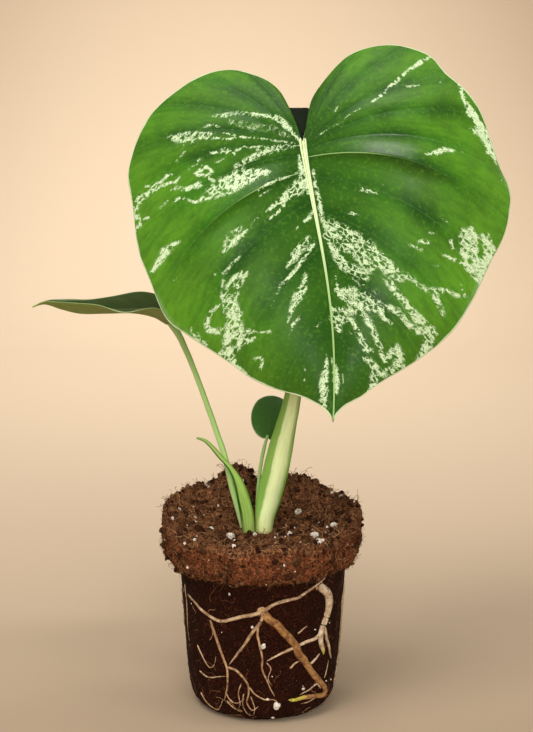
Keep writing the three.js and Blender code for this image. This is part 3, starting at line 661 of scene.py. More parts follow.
    (0.85, (75.5, 72, 0.5), (76.5, 76, 1.1), (78.5, 79.5, 1.4), (80.5, 84, 1.8)),
    (0.75, (67, 77.5, 1.4), (72, 79, 1.7)),
    (0.6, (80.5, 67, 0.4), (82, 69.5, 0.4)),
]
ISLANDS = [
    (1, (70, 94, 0.7), (73, 95, 1.1), (76.5, 94, 0.6)),
    (1, (79, 87.5, 1.1)),
    (0.9, (71, 81, 1.8)),
    (0.9, (76.5, 81, 1.4)),
    (0.95, (71.5, 18.5, 1.9)),
    (0.9, (83.5, -49, 1.8)),
    (1, (96, -58, 2.3)),
    (0.9, (112, -51, 1.7)),
    (0.9, (84.5, 12.5, 1.2)),
    (0.8, (86, 38, 0.7), (81.5, 34, 1.2)),
    (1, (104.5, 67.5, 1)),
    (0.9, (22, -51.5, 1.2)),
    (0.9, (28, -58, 1.4)),
    (0.8, (27.5, -47.5, 1.2)),
    (0.8, (17, -37.5, 1.2)),
    (0.9, (14, -57, 1.1)),
    (0.9, (-20, 97.5, 0.6), (-12.5, 101.5, 0.8), (0.5, 107.5, 0.7)),
    (0.9, (124.5, -37.5, 0.6)),
    (0.8, (53.5, -46, 1.1)),
    (0.7, (55, -81, 1.1)),
]
print(len(STREAKS), "streaks and", len(ISLANDS), "green islands")

# %% How strongly the streaks cover a point
SOFT_EDGE = 0.7                     # of a very thin streak, and wide ones are a little softer
THIN_BOOST = 0.32                   # keeps thin streaks from breaking up altogether


def cover_by(streak, place):
    density, *stations = streak
    stations = np.array(stations if len(stations) > 1 else stations * 2, float)
    cover = np.zeros(len(place))
    for start, end in zip(stations, stations[1:]):
        along = end[:2] - start[:2]
        share = np.clip((place - start[:2]) @ along / max(along @ along, 1e-9), 0, 1)
        away = np.linalg.norm(place - start[:2] - share[:, None] * along, axis=1)
        half = start[2] + share * (end[2] - start[2])
        soft = SOFT_EDGE + 0.2 * half
        dense = density + 0.1 + THIN_BOOST * np.exp(-half)
        cover = np.maximum(cover, dense * np.clip(0.5 + 0.5 * (half - away) / soft, 0, 1))
    return cover


def big_leaf_markings(u, v):
    place = np.stack([u, v], axis=1)
    cream = np.zeros(len(u))
    for streak in STREAKS:
        cream = np.maximum(cream, cover_by(streak, place))
    for island in ISLANDS:
        cream = cream * (1 - cover_by(island, place))
    return cream


middle_line = big_leaf_markings(np.linspace(0, LEAF_LENGTH, 9), np.zeros(9))
print("cream along the midrib, from the notch to the tip:", middle_line.round(2))

# %% [markdown]
# ## The skin of a leaf
#
# A living leaf has a thin clear skin over its colour, so it is glossy but not mirror-like.
# The green itself is uneven, with fine fibres along the veins. It is lighter on the pillows and
# near the margin of the lobes, and darker along the midrib and towards the tip: partly the
# leaf's own tone, partly painted light and shade. Two nets of holes, which slant as the veins
# do, cut the cream streaks up into cells and threads. The midrib and the margin are pale, with
# a band of painted shade beside the midrib, and where the margin rolls over, a wider pale band
# is partly pale rim and partly painted highlight. The underside is duller. The same skin, in
# other tones, serves all three leaves.

# %% A leaf's marks and its green
class LeafFinish(Finish):
    def __init__(self, name, shine):
        super().__init__(name, Specular_IOR_Level=shine)
        self.phase, self.spacing, self.reach = self.parts(self.mark("vein", "Vector"))
        self.from_notch, self.beside_rib, self.from_margin = self.parts(self.mark("leaf", "Vector"))
        self.from_rib = self.absolute(self.beside_rib)
        self.covered = self.mark("cream")
        self.blotches = self.clouds(self.place(), 30.0, 3.0, 0.6)
        strands = self.vector(self.times(self.phase, 9.0), self.times(self.reach, 0.1), 0.0)
        self.fibres = self.clouds(strands, 1.0, 3.0)

    def green(self, dark, middle, light, rib):
        in_vein = self.math("SUBTRACT", self.math("FRACT", self.phase), 0.5)
        off_middle = self.absolute(in_vein)
        green = self.blend(self.blotches, 0.36, 0.64, dark, middle)
        # Lighter in the middle of each pillow, darker in the grooves: partly the leaf's own tone, partly
        # painted light and shade.
        green = self.mix(self.times(self.ease(off_middle, 0.5, 0.1), 0.3), green, light)
        # Lighter near the margin of the lobes: partly the leaf's own tone, partly painted light.
        in_lobe = self.ease(self.from_notch, -20.0, 30.0, 0.2, 0.9)
        edge_tone_and_painted_light = self.times(self.ease(self.from_margin, 4.0, 45.0, 0.45, 0.0), in_lobe)
        green = self.mix(edge_tone_and_painted_light, green, light)
        # Darker towards the midrib and towards the tip: partly the leaf's own tone, partly painted shade.
        green = self.blend(self.reach, 10.0, 75.0, green, dark, 0.65, 0.0)
        green = self.blend(self.from_notch, 90.0, 140.0, green, dark, 0.0, 0.5)
        green = self.blend(self.fibres, 0.35, 0.75, green, dark, 0.0, 0.35)
        mottling = self.clouds(self.place(), 520.0, 2.0)
        green = self.blend(mottling, 0.5, 0.75, green, light, 0.0, 0.22)
        return self.mix(self.vein_line(off_middle), green, self.mix(0.35, light, rib))

    def vein_line(self, off_middle):
        """A thin line in each groove, clear on the folded vein and faint on the others."""
        from_vein = self.times(self.math("SUBTRACT", 0.5, off_middle), self.spacing)
        clear = self.ease(self.mark("folded"), 0.1, 0.8, 0.06, 0.8)
        drawn = self.times(clear, self.ease(self.spacing, 0.8, 4.0))
        return self.times(self.ease(from_vein, 0.05, 0.4, 1.0, 0.0), drawn)


# %% The cream net, and the lines of midrib and margin
def cream_net(leaf, cream, middle):
    """How far the green is bleached at a point, and how pale the cream is there."""
    weave = leaf.mix(1.0, leaf.mark("weave", "Vector"), (0.46, 0.72, 50.0), "MULTIPLY")
    swirl = leaf.add("ShaderNodeTexNoise", {"Vector": weave, "Scale": 0.7, "Detail": 2.0}, "Color")
    weave = leaf.mix(0.6, weave, swirl, "LINEAR_LIGHT")
    large_holes = leaf.holes(weave, 0.45, 0.1, 2.4)
    small_holes = leaf.holes(weave, 1.2, 0.5, 2.2)
    ragged = leaf.clouds(weave, 0.6, 4.0, 0.7)
    tear = leaf.math("MULTIPLY_ADD", ragged, 1.1, leaf.math("MULTIPLY_ADD", leaf.fibres, 0.6, -0.78))
    level = leaf.math("ADD", leaf.covered, tear)
    level = leaf.math("SUBTRACT", level, leaf.math("ADD", large_holes, small_holes))
    faint = leaf.ease(level, 0.22, 0.34, 0.0, 0.22)
    thread = leaf.math("MAXIMUM", leaf.ease(level, 0.42, 0.52), faint)
    bleached = leaf.times(thread, leaf.ease(leaf.covered, 0.06, 0.25))
    return bleached, leaf.blend(level, 0.5, 0.9, leaf.mix(0.4, cream, middle), cream)


def rib_lines(leaf, colour, bleached, dark, light, rib):
    bright = leaf.absolute(leaf.math("ADD", leaf.beside_rib, 0.3))
    thin = leaf.absolute(leaf.math("SUBTRACT", leaf.beside_rib, 0.5))
    bright_line = leaf.ease(bright, 0.06, 0.22, 0.8, 0.0)
    thin_line = leaf.ease(thin, 0.05, 0.14, 0.6, 0.0)
    lines = leaf.math("MAXIMUM", bright_line, thin_line)
    rib_colour = leaf.mix(lines, rib, light)
    rib_colour = leaf.blend(leaf.from_notch, 40.0, 110.0, rib_colour, light, 0.0, 0.6)
    # A darker band just outside the midrib: painted shade for the groove beside it, kept off the cream.
    beside = leaf.times(leaf.ease(leaf.from_rib, 1.2, 2.0, 0.5, 0.0), leaf.math("SUBTRACT", 1.0, bleached))
    colour = leaf.mix(beside, colour, dark)
    return leaf.blend(leaf.from_rib, 0.8, 1.1, colour, rib_colour, 1.0, 0.0)


def pale_margin(leaf, colour, cream, rib):
    """A thin pale line all round, and where the margin rolls over a wider band: pale rim and painted
    highlight.
    """
    width = leaf.ease(leaf.clouds(leaf.place(), 60.0), 0.35, 0.7, 0.35, 0.9)
    at_margin = leaf.math("DIVIDE", leaf.from_margin, width)
    colour = leaf.blend(at_margin, 0.6, 1.4, colour, leaf.mix(0.6, rib, cream), 0.9, 0.0)
    # Where the margin rolls over at the sides, a wider pale band: partly pale rim, partly painted
    # highlight.
    rolled_rim_and_sheen = leaf.ease(leaf.clouds(leaf.place(), 17.0, 1.0), 0.45, 0.6, 0.0, 0.4)
    rolled_rim_and_sheen = leaf.times(rolled_rim_and_sheen, leaf.ease(leaf.from_margin, 0.5, 4.0, 1.0, 0.0))
    below_lobe = leaf.ease(leaf.from_notch, 10.0, 40.0)
    above_tip = leaf.ease(leaf.from_notch, 70.0, 115.0, 1.0, 0.0)
    return leaf.mix(leaf.times(rolled_rim_and_sheen, leaf.times(below_lobe, above_tip)), colour, cream)


# %% The whole skin of a leaf
BROWN_TIP = tone(96, 74, 34)


def leaf_finish(name, dark, middle, light, under, cream, rib, gloss=0.31, shine=0.4, tip_at=500.0):
    leaf = LeafFinish(name, shine)
    bleached, pale = cream_net(leaf, cream, middle)
    colour = leaf.mix(bleached, leaf.green(dark, middle, light, rib), pale)
    colour = rib_lines(leaf, colour, bleached, dark, light, rib)
    colour = pale_margin(leaf, colour, cream, rib)
    colour = leaf.blend(leaf.from_notch, tip_at - 4, tip_at - 1, colour, BROWN_TIP, 0.0, 0.8)

    dull = leaf.blend(leaf.fibres, 0.3, 0.7, under, light, 0.0, 0.3)
    dull = leaf.mix(leaf.times(bleached, 0.45), dull, cream)
    dull = leaf.blend(leaf.from_rib, 1.2, 2.2, dull, rib, 1.0, 0.0)
    is_under = leaf.mark("under")
    leaf.relief(leaf.fibres, 0.00008, 0.4)
    rough = leaf.ease(leaf.blotches, 0.3, 0.7, gloss - 0.04, gloss + 0.06)
    rough = leaf.math("ADD", rough, leaf.ease(leaf.from_notch, -28.0, -8.0, 0.2, 0.0))
    return leaf.paint(leaf.mix(is_under, colour, dull), leaf.math("MULTIPLY_ADD", is_under, 0.2, rough))


variegated_skin = leaf_finish(
    "variegated leaf skin",
    dark=tone(25, 68, 6),
    middle=tone(54, 110, 11),
    light=tone(108, 164, 38),
    under=tone(112, 140, 74),
    cream=tone(206, 225, 180),
    rib=tone(232, 244, 194),
    tip_at=LEAF_LENGTH,
)
make_blade(
    "big_leaf_skin", big_leaf, 320, 110, variegated_skin, "leaf_variegated",
    ("main_leaf_blade",), big_leaf_markings,
)

# %% [markdown]
# ## The left leaf and the small leaf
#
# The left leaf is seen almost edge-on. It is folded up along its midrib like a shallow trough,
# humped where its petiole joins, and its drip tip curls down and up again. The small leaf is
# the youngest one, still dark and soft, and stands behind the stems. Both use the same vein
# grid as the big leaf with other outlines and lifts, which is why the grid was worth writing.

# %% The two other leaves
LEFT_NOTCH = np.array([-57.5, 45, 228.6])
LEFT_TIP = np.array([-143.5, 45, 239.4])
LEFT_LENGTH = float(np.linalg.norm(LEFT_TIP - LEFT_NOTCH))
LEFT_OUTLINE = [
    (0, 0), (-9, 3.5), (-17, 11), (-21, 22), (-18, 32), (-8, 39.5), (6, 42.5), (22, 42), (38, 37),
    (52, 28.5), (65, 17), (74, 8.5), (81, 2.6), (LEFT_LENGTH, 0),
]
LEFT_FAR_OUTLINE = LEFT_OUTLINE[:9] + [(52, 31.5), (65, 22.5), (74, 12.5), (81, 4), (LEFT_LENGTH, 0)]
LEFT_ARCH = [
    (-25, -7), (0, 0), (11, 4.2), (24, 5), (40, 2.6), (56, 0.3), (68, 1.2), (79, 3), (LEFT_LENGTH, 0),
]
SMALL_NOTCH = np.array([3, 24.4, 160])
SMALL_TIP = np.array([8.7, 40, 184.4])
SMALL_LENGTH = float(np.linalg.norm(SMALL_TIP - SMALL_NOTCH))
SMALL_OUTLINE = [
    (0, 0), (-1, 3), (0.5, 7), (5, 10.8), (11, 12.8), (17, 12.8), (23, 10.8), (27, 7), (29, 3),
    (SMALL_LENGTH, 0),
]
left_arch = smooth_line(LEFT_ARCH, 20)


def left_leaf_lift(grid):
    u, v, s, r, side = (grid[key] for key in ("u", "v", "s", "r", "side"))
    slope = 0.3 if side > 0 else 0.21
    arch = np.interp(u, left_arch[:, 0], left_arch[:, 1])
    wave = 0.7 * r ** 3 * np.sin(6 * np.pi * s + 2 * side) * np.sin(np.pi * s)
    curl = 3.6 * hump(u - 60, 15) + 3 * hump(u, 14) - 5 * hump(u - 27, 12)
    edge = curl * r ** 2 if side > 0 else 0
    return arch + np.abs(v) * (slope - 0.06 * r) + wave + edge + pillows(grid, 0.1, 0.09, 0.03)


def small_leaf_lift(grid):
    chord, r = grid["chord"], grid["r"]
    bend = 3 * (grid["u"] / SMALL_LENGTH) ** 2
    return chord * (0.3 * r - 0.2 * r * r) - bend + pillows(grid, 0.12, 0.1, 0.02)


left_leaf = {
    "frame": leaf_frame(LEFT_NOTCH, unit(LEFT_TIP - LEFT_NOTCH), np.array([0, 0, 1])),
    "length": LEFT_LENGTH,
    "margins": (LEFT_FAR_OUTLINE, LEFT_OUTLINE),
    "fan_start": 3,
    "fan_share": 0.4,
    "vein_spread": 1.8,
    "vein_bow": 0.08,
    "sway": 0,
    "thickness": 0.8,
    "rib_depth": 1.2,
    "rib_width": 2,
    "rib_half": 1.1,
    "rib_tip": 0.3,
    "first_vein": (0.1, 0.1),
    "creases": (0.46, 0.46),
    "vein_step": 0.09,
    "row_growth": 1.1,
    "lift": left_leaf_lift,
}
small_leaf = {
    **left_leaf,
    "frame": leaf_frame(SMALL_NOTCH, unit(SMALL_TIP - SMALL_NOTCH), np.array([0, -1, 0])),
    "length": SMALL_LENGTH,
    "margins": (SMALL_OUTLINE, SMALL_OUTLINE),
    "fan_start": 1.5,
    "fan_share": 0.3,
    "vein_spread": 1.6,
    "rib_depth": 0.5,
    "rib_width": 1.2,
    "rib_half": 0.45,
    "rib_tip": 0.15,
    "first_vein": (0.12, 0.12),
    "vein_step": 0.1,
    "lift": small_leaf_lift,
}
left_skin = leaf_finish(
    "left leaf skin",
    dark=tone(26, 52, 12),
    middle=tone(42, 74, 22),
    light=tone(58, 88, 34),
    under=tone(142, 160, 82),
    cream=tone(196, 218, 165),
    rib=tone(140, 160, 84),
    gloss=0.46,
    shine=0.1,
)
young_skin = leaf_finish(
    "young leaf skin",
    dark=tone(56, 102, 36),
    middle=tone(84, 130, 54),
    light=tone(112, 150, 84),
    under=tone(84, 108, 66),
    cream=tone(196, 218, 165),
    rib=tone(70, 104, 48),
    gloss=0.3,
    shine=0.5,
)
make_blade("left_leaf_skin", left_leaf, 160, 40, left_skin, "leaf_green", ("left_leaf_blade",))
make_blade("small_leaf_skin", small_leaf, 80, 24, young_skin, "leaf_green", ("small_leaf_blade",))

# %% [markdown]
# ## The stems
#
# A petiole is a stiff, juicy leaf stalk. The big one is round at the top and winged low down,
# where it once wrapped the next leaf, and it ends in a thick elbow behind the notch that turns
# the blade to the light. Each stem is a row of stations with a centre and a size. The section
# is drawn once and scaled along the stem, which keeps the wings smooth where they run out.

# %% Stems swept through stations
def sweep(stations, per_span, section):
    line = smooth_line(stations, per_span)
    centre = line[:, :3]
    heading = unit(np.gradient(centre, axis=0))
    right = unit(np.array([1.0, 0, 0]) - heading * heading[:, :1])
    back = np.cross(heading, right)
    outline = section(line[:, 3:])
    rings = centre[:, None] + outline[..., :1] * right[:, None] + outline[..., 1:] * back[:, None]
    return rings, outline, run_along(centre)


def round_section(sizes, sides=20):
    turn = np.linspace(0, 2 * np.pi, sides, endpoint=False)
    return sizes[:, :1, None] * np.stack([np.sin(turn), -np.cos(turn)], axis=-1)


def make_stem(name, stations, per_span, section, finish, slot, node):
    rings, outline, run = sweep(stations, per_span, section)
    sides = rings.shape[1]
    points = rings.reshape(-1, 3)
    bumps = 0.12 * noise(points * (1, 1, 0.4), 2.5, 11)[:, None]
    points = points + bumps * unit(outline).reshape(-1, 2) @ SIDEWAYS
    size = np.abs(outline).max(axis=(1, 2), keepdims=True)
    marks = np.column_stack([(outline / size).reshape(-1, 2), np.repeat(run, sides)])
    make_piece(name, points, capped_tube_faces(len(rings), sides), finish, slot, (node,), stem=marks)


SIDEWAYS = np.array([[1.0, 0, 0], [0, 1.0, 0]])
MAIN_STATIONS = [                   # centre x, y, z, radius, left wing, right wing, boxiness
    (-0.4, 1, 97, 5, 0, 0, 0), (0.3, 1, 107, 4.8, 0.3, 0.8, 0), (1.2, 1, 117, 4.8, 1.2, 1.8, 0),
    (4.2, 1, 128, 4.7, 2.8, 2.6, 0), (7.6, 0, 143, 4.7, 3, 3.2, 0), (10.8, 0, 158, 4.7, 2.6, 2.8, 0),
    (13.6, 0, 170, 4.8, 1.6, 1.6, 0), (16.4, 0, 182, 5, 0.6, 0.6, 0), (19, 1, 195, 4.9, 0, 0, 0),
    (23.5, 4, 219, 4.7, 0, 0, 0), (27, 9, 247, 4.6, 0, 0, 0), (28, 13.5, 276, 4.6, 0, 0, 0),
    (26.5, 16.8, 304, 4.7, 0, 0, 0), (23.6, 17.4, 326, 5.1, 0, 0, 0), (21.4, 15, 342, 5.8, 0, 0, 0.2),
    (20.5, 9.4, 352.6, 6.2, 0, 0, 0.6), (20.4, 1.4, 356.6, 6.2, 0, 0, 1),
    (21.7, -7, 352.6, 5.7, 0, 0, 0.9), (22.8, -12.8, 345.6, 4.9, 0, 0, 0.6),
    (23.5, -16.7, 337.8, 3.8, 0, 0, 0.4), (24.2, -20.4, 329, 2.2, 0, 0, 0),
]
HALF_CIRCLE = [(0.26, -0.97), (0.71, -0.71), (0.97, -0.26), (0.97, 0.26), (0.71, 0.71), (0.26, 0.97)]
BOXED = [(0.1, 0), (0.35, -0.22), (0.4, -0.1), (0.4, 0.1), (0.35, 0.22), (0.1, 0)]
WING_OUT = [0, 0, 0.75, 1, 0.25, 0]
WING_BACK = [0, 0, 0.5, 0.45, 0.15, 0]
LEFT_STATIONS = [                   # centre x, y, z, radius
    (-9, 1.6, 97, 2.1), (-11.2, 3, 107, 2.1), (-14.8, 6, 119, 2), (-18.2, 10, 130, 1.9),
    (-21.3, 14.6, 142, 1.8), (-24.4, 19, 153, 1.8), (-28.4, 23.2, 164, 1.7), (-32.2, 27, 174, 1.7),
    (-36.2, 30.4, 184.6, 1.7), (-41.2, 34.4, 197.4, 1.7), (-47, 38.6, 211, 1.8),
    (-52.2, 42.2, 221.5, 2.1), (-56.2, 44.4, 226.6, 1.9), (-60, 45, 229.4, 0.8),
]
SMALL_STATIONS = [
    (-3.4, 9, 97, 1.3), (-3.4, 9.4, 108, 1.3), (-3.2, 10.6, 122, 1.2), (-2.2, 13.4, 136, 1.1),
    (-0.9, 17, 146, 1.1), (1, 21, 154.6, 1.1), (3.1, 24.8, 161.5, 0.9),
]
SHEATH_STATIONS = [                 # centre x, y, z, half width, depth of the curl, thickness
    (-8.2, -4.2, 97, 3.6, 2.4, 1.5), (-8.5, -4.3, 108, 3.9, 2.6, 1.5),
    (-9.7, -4.2, 119.6, 4.3, 2.6, 1.4), (-11.9, -3.4, 129.4, 4, 2.4, 1.3),
    (-14.2, -2, 137.2, 3.1, 2, 1.2), (-17.2, 0.8, 143, 2.2, 1.5, 1.1),
    (-20.6, 4, 147.2, 1.6, 1.1, 1), (-25.4, 7, 151.6, 1.5, 1, 1), (-30.3, 10, 156.8, 1.4, 1, 1),
    (-35.2, 12, 161, 1.1, 0.9, 0.9), (-40.4, 13, 162.6, 0.6, 0.7, 0.8),
]


def winged_section(sizes):
    radius, left_wing, right_wing, boxiness = (sizes[:, k, None] for k in range(4))
    half, boxed = np.array(HALF_CIRCLE), np.array(BOXED)
    halves = []
    for side, wing in ((1, right_wing), (-1, left_wing)):
        across = side * ((half[:, 0] + boxiness * boxed[:, 0]) * radius + np.array(WING_OUT) * wing)
        back = (half[:, 1] + boxiness * boxed[:, 1]) * radius + np.array(WING_BACK) * wing
        halves.append(np.stack([across, back], axis=-1)[:, ::side])
    corners = np.concatenate(halves, axis=1)
    flat = corners.transpose(1, 0, 2).reshape(12, -1)
    fine = smooth_line(flat, 6, ends="closed")
    return fine.reshape(len(fine), -1, 2).transpose(1, 0, 2)


def curled_section(sizes, steps=14):
    half, depth, thick = (sizes[:, k, None] for k in range(3))
    turn = np.radians(np.linspace(-75, 75, steps))
    outer = np.stack([half * np.sin(turn), depth / 2 - depth * np.cos(turn)], axis=-1)
    inner_half, inner_depth = half - 0.4 * thick, depth - thick
    inner = np.stack([inner_half * np.sin(turn), depth / 2 - inner_depth * np.cos(turn)], axis=-1)
    return np.concatenate([outer, inner[:, ::-1]], axis=1)


# %% Stem materials and the four stems
def stem_finish(name, middle, left, right, base, seam=-0.35, streaks=0.35, shaded_knee=None):
    """Pale in the middle, another green on the wing left of the seam, and darker at the right,
    at the back and along the seam: partly the stem's own green, partly painted shade.
    """
    finish = Finish(name, Specular_IOR_Level=0.35)
    around, back, along = finish.parts(finish.mark("stem", "Vector"))
    stretched = finish.vector(around, back, finish.times(along, 0.01))
    fibres = finish.clouds(stretched, 5.0, 4.0, 0.65)
    blotches = finish.clouds(finish.place(), 90.0, 3.0)
    uneven = finish.math("MULTIPLY_ADD", fibres, 0.5, finish.math("SUBTRACT", around, 0.25))
    colour = finish.blend(uneven, seam - 0.06, seam + 0.06, left, middle)
    # Darker at the right, at the back and along the seam: partly the stem's own green, partly painted
    # shade.
    colour = finish.blend(uneven, 0.45, 1.0, colour, right)
    colour = finish.blend(back, 0.2, 0.8, colour, right)
    from_seam = finish.absolute(finish.math("SUBTRACT", uneven, seam))
    colour = finish.blend(from_seam, 0.0, 0.08, colour, right, 0.45, 0.0)
    colour = finish.blend(fibres, 0.45, 0.7, colour, right, 0.0, streaks)
    above_soil = finish.math("MULTIPLY_ADD", blotches, 14.0, along)
    colour = finish.blend(above_soil, 14.0, 34.0, colour, base, 0.6, 0.0)
    finish.relief(fibres, 0.0002, 0.5)
    gloss = finish.ease(blotches, 0.3, 0.7, 0.34, 0.46)
    if shaded_knee:
        # The knee behind the notch is painted near black: painted shade, where it sits in the leaf's
        # shadow.
        knee_shade = finish.ease(along, *shaded_knee)
        colour = finish.mix(knee_shade, colour, tone(14, 24, 9))
        gloss = finish.math("MULTIPLY_ADD", knee_shade, 0.4, gloss)
    return finish.paint(colour, gloss)


main_skin = stem_finish(
    "big petiole skin", tone(236, 248, 180), tone(146, 192, 84), tone(116, 164, 58), tone(224, 230, 152),
    seam=-0.46, streaks=0.16, shaded_knee=(200.0, 235.0),
)
thin_skin = stem_finish(
    "left petiole skin", tone(178, 218, 126), tone(196, 222, 148), tone(136, 182, 84), tone(206, 220, 152),
)
sheath_skin = stem_finish(
    "sheath skin", tone(158, 190, 92), tone(44, 86, 26), tone(98, 142, 46), tone(164, 184, 100),
    seam=-0.6, streaks=0.8,
)
for stem in (
    ("big_petiole_skin", MAIN_STATIONS, 10, winged_section, main_skin, "petiole", "main_petiole"),
    ("left_petiole_skin", LEFT_STATIONS, 8, round_section, thin_skin, "petiole", "left_petiole"),
    ("small_petiole_skin", SMALL_STATIONS, 8, round_section, thin_skin, "petiole", "small_petiole"),
    ("sheath_skin", SHEATH_STATIONS, 8, curled_section, sheath_skin, "sheath", "left_sheath"),
):
    make_stem(*stem)

# %% [markdown]
# ## The root ball: soil in the shape of the pot
#
# The pot has pressed its shape into the soil: a flat bottom, a tapered wall, and a thick
# crumbly collar where the rim was. The top is a heaped bowl, higher at the back. The surface is
# one grid that runs round the ball and up from the bottom to the middle of the top. Noise of
# three sizes then makes clods, crumbs and grain. Sculpting it by hand would be the usual way,
# but noise on a fine grid is quicker and gives the same soil in every run.

# %% The smooth shape of the soil
WALL = [
    (0, 33), (2, 38.5), (6, 42.3), (12, 44.5), (20, 45.7), (32, 46.6), (44, 47.4), (56, 48.2),
    (68, 49), (79, 49.9), (88, 51),
]
COLLAR_RADIUS = 60.3
COLLAR_SHIFT = 1.3                  # it stands out further on the left
SOIL_LEVEL = 107                    # at the foot of the stems
FRONT_RIM = 7                       # height of the rim over that level, at the front
SIDE_RIM = 17.5                     # and at the sides and the back
wall_line = smooth_line(WALL, 12)


def collar(turn):
    return COLLAR_RADIUS - COLLAR_SHIFT * np.cos(turn) + 0.9 * np.sin(3 * turn + 1)


def soil_height(x, y):
    away = np.hypot(x, y)
    rise = FRONT_RIM + (SIDE_RIM - FRONT_RIM) * smoothstep(y, -48, 5)
    heaps = 20.5 * hump(x + 17, 16) * hump(y - 44, 22)
    heaps = heaps + 13 * hump(x - 23, 15) * hump(y - 44, 22)
    inside = 1 - 0.75 * smoothstep(away, 50, 62)
    return SOIL_LEVEL + rise * (away / COLLAR_RADIUS) ** 2.6 + inside * heaps


def wall_place(degrees, z, out):
    """A point on the wall, with 0 degrees in front and positive angles to the right."""
    turn = np.radians(degrees)
    radius = np.interp(z, wall_line[:, 0], wall_line[:, 1]) + out
    return np.stack([radius * np.sin(turn), -radius * np.cos(turn), np.asarray(z, float)], axis=-1)


# %% The soil grid with its clods and crumbs
SOIL_COLUMNS = 340
SPAN_ROWS = 8                       # rows of the fine grid between two places of the profile
FLAT_ROWS = 17                      # rows of the fine grid that lie on the flat bottom
COLLAR_PROFILE = ((5.5, 90.5), (2, 95), (0.6, 101), (0, 107))       # in from the rim, height
TOP_SHARES = (1, 0.93, 0.83, 0.73, 0.63, 0.53, 0.43, 0.33, 0.23, 0.12, 0.05, 0)
RIM_EDGE = (1, 1.5)                 # how far in and down the rounded edge of the rim starts

soil_turn = np.linspace(0, 2 * np.pi, SOIL_COLUMNS, endpoint=False)
rim = collar(soil_turn)
profile = [(radius + 0 * rim, z + 0 * rim) for z, radius in [(0, 0), (0, 16), *WALL]]
profile += [(rim - inset, z + 0 * rim) for inset, z in COLLAR_PROFILE]
for share in TOP_SHARES:
    inset, drop = RIM_EDGE if share == 1 else (0, 0)
    radius = rim * share - inset
    height = soil_height(radius * np.cos(soil_turn), radius * np.sin(soil_turn)) - drop
    profile.append((radius, height))
profile = np.array(profile).transpose(0, 2, 1).reshape(len(profile), -1)
soil_rows = smooth_line(profile, SPAN_ROWS).reshape(-1, SOIL_COLUMNS, 2)
soil_radius, soil_z = soil_rows[..., 0], soil_rows[..., 1]
smooth_soil = np.stack(
    [soil_radius * np.cos(soil_turn), soil_radius * np.sin(soil_turn), soil_z], axis=-1,
)
row_share = np.arange(len(soil_rows)) / SPAN_ROWS
soil_zone = smoothstep(row_share, 11.5, 13.5) + smoothstep(row_share, 15.5, 17)


def outward(grid):
    up = np.gradient(grid, axis=0)
    around = np.roll(grid, -1, axis=1) - np.roll(grid, 1, axis=1)
    facing = np.cross(around, up)
    return facing / np.maximum(np.linalg.norm(facing, axis=-1, keepdims=True), 1e-9)


def crumble(points, zone):
    """Roughness in three sizes. The zone is 0 on the wall, 1 on the collar and 2 on the top."""
    clods = noise(points, 7.0, 21, 2)
    crumbs = np.abs(noise(points, 2.6, 31, 2))
    grain = noise(points, 0.9, 41)
    clod_height = np.interp(zone, (0, 1, 2), (0.25, 1.0, 1.3))
    crumb_height = np.interp(zone, (0, 1, 2), (0.35, 1.5, 1.7))
    return clod_height * clods - crumb_height * (crumbs - 0.3) + 0.22 * grain


zone_grid = np.repeat(soil_zone[:, None], SOIL_COLUMNS, axis=1)
lift = crumble(smooth_soil, zone_grid)
soil_points = smooth_soil + outward(smooth_soil) * lift[..., None]
soil_points[..., 2] = np.maximum(soil_points[..., 2], 0)
soil_points[:FLAT_ROWS, :, 2] = 0
soil_points[0] = 0
soil_points[-1] = soil_points[-1].mean(axis=0)
soil_facing = outward(soil_points)
print("soil grid:", soil_points.shape[:2], "rows and columns")


# %% The soil's finish
def soil_finish():
    finish = Finish("moist potting mix", Specular_IOR_Level=0.12)
    place = finish.place()
    coarse = finish.clouds(place, 110.0, 4.0, 0.65)
    fine = finish.clouds(place, 800.0, 3.0, 0.7)
    # The wall is darker than the collar and the top: partly its own moist soil, partly painted shade under
    # the collar.
    side, crust, crown = (
        finish.blend(fine, 0.35, 0.7, tone(*dark), tone(*light))
        for dark, light in (
            ((20, 7, 4), (60, 24, 13)), ((78, 38, 21), (168, 102, 64)), ((62, 34, 19), (168, 114, 76)),
        )
    )
    ragged = finish.math("MULTIPLY_ADD", coarse, 1.2, finish.math("SUBTRACT", finish.mark("zone"), 0.6))
    colour = finish.blend(ragged, 0.3, 0.7, side, crust)
    colour = finish.blend(ragged, 1.3, 1.8, colour, crown)
    colour = finish.blend(coarse, 0.35, 0.62, colour, tone(30, 15, 9), 0.55, 0.0)
    speck = finish.clouds(place, 900.0, 1.0)
    colour = finish.blend(speck, 0.68, 0.78, colour, tone(150, 96, 64), 0.0, 0.45)
    grit = finish.cells(place, 620.0)
    finish.relief(finish.math("MULTIPLY_ADD", grit, 0.7, fine), 0.0007, 0.8)
    return finish.paint(colour, finish.ease(coarse, 0.3, 0.7, 0.95, 0.7))


make_piece(
    "soil_skin", soil_points[::-1].reshape(-1, 3), tube_faces(len(soil_points), SOIL_COLUMNS).tolist(),
    soil_finish(), "soil", ("soil_plug",), weld=True, zone=zone_grid[::-1].ravel(),
)

# %% [markdown]
# ## Roots on the wall
#
# Roots grow out to the pot's wall and then follow it, because they cannot go through it. The
# thick ones are this season's and still pale, with yellow tips that are growing. Each root is
# a path in degrees round the ball and millimetres up, half sunk into the soil. They all come
# from the buried stem in the middle of the ball, so stem and roots are one piece.

